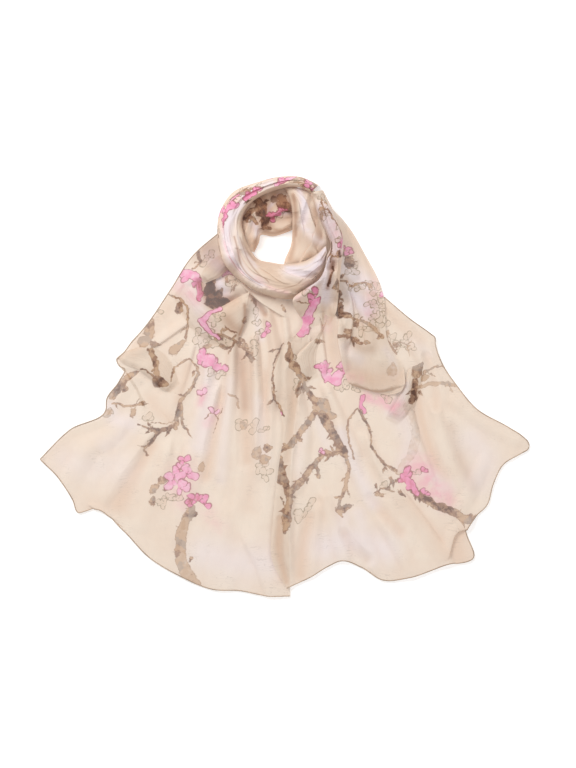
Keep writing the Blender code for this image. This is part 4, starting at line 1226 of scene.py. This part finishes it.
def grid_mesh(name, grids, material, fields):
    """A mesh over grids [rows, columns, 3] of points in mm, with its fields as attributes."""
    faces, first = [], 0
    for points in grids:
        i = first + np.arange(points.shape[0] * points.shape[1]).reshape(points.shape[:2])
        first += i.size
        quads = np.stack([i[:-1, :-1], i[:-1, 1:], i[1:, 1:], i[1:, :-1]], -1).reshape(-1, 4)
        across, along = np.diff(points, axis=1)[:-1], np.diff(points, axis=0)[:, :-1]
        up = (across[..., 0] * along[..., 1] - across[..., 1] * along[..., 0]).sum() > 0
        faces.append(quads if up else quads[:, ::-1])
    quads = np.concatenate(faces)
    flat = np.concatenate([points.reshape(-1, 3) for points in grids])
    mesh = bpy.data.meshes.new(name)
    mesh.vertices.add(len(flat))
    mesh.vertices.foreach_set("co", (flat * MM).ravel().astype(np.float32))
    mesh.loops.add(quads.size)
    mesh.loops.foreach_set("vertex_index", quads.ravel().astype(np.int32))
    mesh.polygons.add(len(quads))
    mesh.polygons.foreach_set("loop_start", np.arange(0, quads.size, 4, dtype=np.int32))
    mesh.update(calc_edges=True)
    mesh.shade_smooth()
    for key, value in fields.items():
        kind = "FLOAT_VECTOR" if value.ndim == 2 else "FLOAT"
        held = mesh.attributes.new(key, kind, "POINT")
        held.data.foreach_set("vector" if value.ndim == 2 else "value", value.ravel().astype(np.float32))
    mesh.materials.append(material)
    obj = bpy.data.objects.new(name, mesh)
    bpy.context.scene.collection.objects.link(obj)
    return obj


def relief(points):
    """How steep the surface is at each point of a grid, and how far it sinks below the surface round it, from 0
    to 1: masks for the painted shade on slopes and in hollows.
    """
    across, along = np.gradient(points, axis=1), np.gradient(points, axis=0)
    n = np.cross(across, along)
    n /= np.maximum(np.linalg.norm(n, axis=2), 1e-9)[..., None]
    steep = np.clip((1 - np.abs(n[..., 2])) * 1.6, 0, 1)
    z = points[..., 2]
    hollow_shade = np.clip((blur(z, 24) - z) / 3, 0, 1)
    return blur(steep, 1), hollow_shade


def cloth_place(plan):
    """Where each point is on the cloth, in metres, for the textures."""
    flat = plan.reshape(-1, 2) * MM
    return np.column_stack([flat, np.zeros(len(flat))])


def crinkle(plan, share, size, seed):
    """Small uneven creases that run mostly along a stretch. share is 0 to 1 across it."""
    x, y = plan[..., 0], plan[..., 1]
    fine = noise(x / 9, y / 16, seed) * 0.35 + noise(x / 5, y / 8, seed + 1) * 0.15
    long = noise(share * 26 + noise(x / 60, y / 60, seed + 2), y / 120, seed + 3)
    return size * (fine + 0.6 * long + 0.7)


def tube(name, path, radius, material, sides=6):
    """A thin tube along a path of points in mm, narrowing to nothing at its ends."""
    run = np.gradient(path, axis=0)
    run /= np.maximum(np.linalg.norm(run, axis=1), 1e-9)[:, None]
    side = np.cross(run, (0.0, 0.0, 1.0))
    side /= np.maximum(np.linalg.norm(side, axis=1), 1e-9)[:, None]
    over = np.cross(side, run)
    size = np.full(len(path), radius)
    size[[0, -1]] = radius * 0.2
    angles = np.linspace(0, 2 * np.pi, sides + 1)[None, :, None]
    round_it = np.cos(angles) * side[:, None] + np.sin(angles) * over[:, None]
    ring = path[:, None] + size[:, None, None] * round_it
    return grid_mesh(name, [ring], material, {"cloth": ring.reshape(-1, 3) * MM})


heap = Heap()
SHEER = voile("voile_sheer", 0.80)
DENSE = voile("voile_gathered", 0.97)
THREAD = thread()
made = {}


def finish_piece(obj, node):
    """Puts a piece on the one body, in place of its solid."""
    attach(obj, "root")
    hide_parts(node)
    made[node] = obj


def layer(plan, points, print_rows, seed):
    """One grid of a stretch with its print's fields. It is added to the heap."""
    fields = printed(plan, *print_rows, seed)
    steep, hollow_shade = relief(points)
    fields["steep"], fields["hollow_shade"] = steep.ravel(), hollow_shade.ravel()
    fields["cloth"] = cloth_place(plan)
    heap.add(points[..., :2], points[..., 2])
    return points, fields


def cover(node, layers, material):
    """Makes a stretch's mesh of its layers."""
    grids, prints = zip(*layers)
    fields = {key: np.concatenate([one[key] for one in prints]) for key in prints[0]}
    finish_piece(grid_mesh("visual_" + node, grids, material, fields), node)


def flap(rows, print_rows, seed):
    """A fold of the sheet that lies over the heap: its edge stands up, its root runs into the sheet."""
    plan, high = band_plan(rows, *FLAP_GRID)
    share = np.linspace(0, 1, plan.shape[1])[None]
    crest = 0.4 + 0.6 * np.sin(np.pi / 2 * np.clip(share / FLAP_CREST, 0, 1))
    fall = np.clip((share - FLAP_CREST) / (1 - FLAP_CREST), 0, 1)
    crest = crest * (1 - fall * fall * (3 - 2 * fall))
    root = 2.0 * np.clip((share - 0.8) / 0.2, 0, 1)
    under = heap.read(blur(heap.top, 8), plan)
    z = under - FLAP_SINK + (high * crest + 2.2 - root) * np.clip(high / 3, 0, 1)
    z = z + crinkle(plan, share + 0 * z, 0.5, seed) * np.clip(high / 3, 0, 1)
    return layer(plan, np.dstack([plan, z]), print_rows, seed)


def lay_sheet(node, plan, folds, troughs, swell, print_rows, size, drape, seed, flaps=(), below=None):
    """A flat stretch: it drapes over the heap, and its folds rise from there. Its flaps carry the
    same print. below is what the sheet carries beside that, where flaps leave it to be seen."""
    share = np.broadcast_to(np.linspace(0, 1, plan.shape[1]), plan.shape[:2])
    rise = swell * (0.55 + 0.45 * noise(plan[..., 0] / 52, plan[..., 1] / 80, seed + 9))
    lift, shift = raise_folds(plan, folds, troughs, rise)
    under = heap.read(heap.draped(*drape), plan + shift)
    z = under + CLEAR + lift + crinkle(plan, share, size, seed)
    points = np.dstack([plan + shift, z])
    rows = [a + b for a, b in zip(print_rows, below)] if below else print_rows
    layers = [layer(plan, points, rows, seed)]
    cover(node, layers + [flap(f, print_rows, seed) for f in flaps], SHEER)
    return points


def round_the_back(plan, back):
    """The plan points of a roll, as far from its middle as they are along its rounded back. The print
    and the weave follow them, so they aren't drawn out where the roll's sides fall away."""
    over = plan[:, -1:] - plan[:, :1]
    wide = np.linalg.norm(over, axis=2)
    flat = wide / (plan.shape[1] - 1)
    steps = np.hypot(flat, np.diff(back, axis=1)) - flat
    extra = np.concatenate([np.zeros_like(wide), np.cumsum(steps, axis=1)], axis=1)
    extra -= extra[:, [plan.shape[1] // 2]]
    return plan + extra[..., None] * over / wide[..., None]


def lay_roll(node, rows, raised, print_rows, count, size, seed):
    """A gathered stretch: a rounded back over the heap, with folds that run along it. Where its height
    is below 0, it runs under what it lies on."""
    plan, extra = band_plan(rows, *count)
    share = np.broadcast_to(np.linspace(0, 1, plan.shape[1]), plan.shape[:2])
    back = np.maximum(extra[:, :1], 0) * np.sqrt(np.clip(1 - (2 * share - 1) ** 2, 0, 1))
    lift, shift = raised(plan)
    edge = np.clip(np.minimum(share, 1 - share) * 10, 0, 1)
    moved = plan + shift * edge[..., None]
    under = heap.read(heap.draped(1.6, 2), moved) + np.minimum(extra[:, :1], 0)
    z = np.maximum(under + CLEAR + back + edge * (lift + crinkle(plan, share, size, seed)), CLEAR)
    cover(node, [layer(round_the_back(plan, back), np.dstack([moved, z]), print_rows, seed)], DENSE)


def edge_tube(node, line, seed):
    """The rolled edge on a border line of the cloth."""
    path = line.copy()
    path[:, 2] += 0.1 + 0.25 * noise(np.arange(len(path)) / 7.0, np.zeros(len(path)), seed)
    finish_piece(tube("visual_" + node, path, HEM_ROUND, THREAD), node)


def towards_knot(plan, near_it, far_off):
    """A size that falls from one value at the knot to another at the hem."""
    far = np.clip(np.hypot(plan[..., 0], plan[..., 1] - KNOT_Y) / KNOT_TO_HEM, 0, 1)
    return between(near_it, far_off, far)


plan = sheet_plan(LEFT_TOP, LEFT_OUTER, LEFT_INNER, LEFT_HEM, *END_GRID)
points = lay_sheet(
    "tail_left", plan, LEFT_FOLDS, LEFT_TROUGHS, towards_knot(plan, 7, 3),
    (LEFT_BRANCHES, LEFT_LEAVES, LEFT_BLOOMS, LEFT_RIBBONS, LEFT_DRAWN, LEFT_WASHES), 0.9, (0.8, 2), 11,
    (NICK_FLAP, PANEL_FLAP, UPPER_FLAP),
    (POCKET_BRANCHES, POCKET_LEAVES, POCKET_BLOOMS, POCKET_RIBBONS, POCKET_DRAWN, POCKET_WASHES))
edge_tube("hem_left", points[-1], 3)
edge_tube("selvedge_left", points[:, 0], 4)

lay_roll("wrap_back", BACK_ROLL, lambda plan: roll_folds(plan, BACK_FOLDS),
         (BACK_BRANCHES, BACK_LEAVES, BACK_BLOOMS, BACK_RIBBONS, BACK_DRAWN, BACK_WASHES), (80, 150), 0.6, 21)
lay_roll("wrap_inner", INNER_ROLL, lambda plan: roll_folds(plan, INNER_FOLDS),
         ([], [], [], [], [], INNER_WASHES), (90, 150), 0.6, 31)
lay_roll("wrap_front", FRONT_ROLL, lambda plan: roll_folds(plan, FRONT_FOLDS),
         (LOOP_BRANCHES, LOOP_LEAVES, LOOP_BLOOMS, LOOP_RIBBONS, LOOP_DRAWN, FRONT_WASHES), (110, 620), 0.6, 41)

plan = sheet_plan(RIGHT_TOP, RIGHT_INNER, RIGHT_OUTER, RIGHT_HEM, *END_GRID)
points = lay_sheet(
    "tail_right", plan, RIGHT_FOLDS, RIGHT_TROUGHS, towards_knot(plan, 7, 3),
    (RIGHT_BRANCHES, RIGHT_LEAVES, RIGHT_BLOOMS, RIGHT_RIBBONS, RIGHT_DRAWN, RIGHT_WASHES), 0.9, (0.8, 3), 12,
    (CORNER_FLAP, BEYOND_FLAP))
edge_tube("hem_right", points[-1], 5)
edge_tube("selvedge_right", points[:, -1], 6)

plan, _ = band_plan(SIDE_BAND, *SIDE_GRID)
lay_sheet(
    "wrap_side", plan, SIDE_FOLDS, SIDE_TROUGHS, np.full(plan.shape[:2], 3.0),
    (SIDE_BRANCHES, SIDE_LEAVES, SIDE_BLOOMS, [], SIDE_DRAWN, SIDE_WASHES), 0.4, (0.8, 3), 13)
lay_roll("strand", STRAND_ROLL,
         lambda plan: raise_folds(plan, STRAND_FOLDS, STRAND_TROUGHS, np.full(plan.shape[:2], 1.0)),
         (STRAND_BRANCHES, STRAND_LEAVES, STRAND_BLOOMS, STRAND_RIBBONS, STRAND_DRAWN, STRAND_WASHES),
         (100, 240), 0.6, 51)

# ---- what each sheet was cut to --------------------------------------------------------------------
# What shows of each stretch, how it is held, what it lies on, and the rolled edges on it. flat is its
# widest row and its longest line, in metres to 10 mm, and area its area in square metres. All are read
# off the cloth built here, but for the ends' width: that is the whole cut's, taken as 0.50.
SHEET_COLUMNS = ("node", "flat", "area", "held", "rests_on", "with_pieces")
SHEETS = [
    ("tail_left", (0.50, 0.46), 0.146, "laid", [], ["hem_left", "selvedge_left"]),
    ("tail_right", (0.50, 0.48), 0.129, "laid", ["tail_left", "wrap_front"],
     ["hem_right", "selvedge_right"]),
    ("wrap_side", (0.09, 0.37), 0.019, "laid", ["tail_right"], []),
    ("wrap_back", (0.10, 0.17), 0.009, "gathered", ["tail_left"], []),
    ("wrap_inner", (0.10, 0.14), 0.011, "gathered", ["wrap_back"], []),
    ("wrap_front", (0.11, 0.48), 0.031, "gathered", ["tail_left"], []),
    ("strand", (0.08, 0.26), 0.013, "gathered", ["wrap_front"], []),
]
for row in SHEETS:
    s = named(SHEET_COLUMNS, row)
    [made[node] for node in s["rests_on"]]
    [made[node] for node in s["with_pieces"]]

# ---- floor, light and camera -----------------------------------------------------------------------
floor_mesh = bpy.data.meshes.new("floor")
floor_mesh.from_pydata([(-20, -20, 0), (20, -20, 0), (20, 20, 0), (-20, 20, 0)], [], [(0, 1, 2, 3)])
floor = bpy.data.objects.new("floor", floor_mesh)
floor.location.z = -0.0004
bpy.context.scene.collection.objects.link(floor)
floor_mesh.materials.append(plain_floor())

world = bpy.data.worlds.new("studio")
world.use_nodes = True
world.node_tree.nodes["Background"].inputs["Color"].default_value = (1.0, 0.97, 0.95, 1)
world.node_tree.nodes["Background"].inputs["Strength"].default_value = 0.45
bpy.context.scene.world = world


def area_light(name, place, size, watts):
    light = bpy.data.lights.new(name, "AREA")
    light.shape = "SQUARE"
    light.size = size
    light.energy = watts
    obj = bpy.data.objects.new(name, light)
    obj.location = place
    away = np.array(place) / np.linalg.norm(place)
    obj.rotation_euler = (math.acos(away[2]), 0, math.atan2(away[0], -away[1]))
    bpy.context.scene.collection.objects.link(obj)


area_light("key", (-1.1, 1.5, 1.9), 1.1, 42)
area_light("fill", (1.8, -1.0, 2.2), 1.6, 20)

camera_data = bpy.data.cameras.new("camera")
camera = bpy.data.objects.new("camera", camera_data)
CAMERA_HIGH = 2.6        # m
PIXEL = 1.5 * MM         # what one pixel of the photo stands for, on the plan
PHOTO_HIGH = 768         # pixels
camera_data.sensor_fit = "VERTICAL"
camera_data.sensor_height = 24
camera_data.lens = camera_data.sensor_height * CAMERA_HIGH / (PHOTO_HIGH * PIXEL)
camera.location = (3 * PIXEL, 2.5 * PIXEL, CAMERA_HIGH)
bpy.context.scene.collection.objects.link(camera)
bpy.context.scene.camera = camera

scene = bpy.context.scene
scene.view_settings.view_transform = "Standard"
scene.cycles.transparent_max_bounces = 32
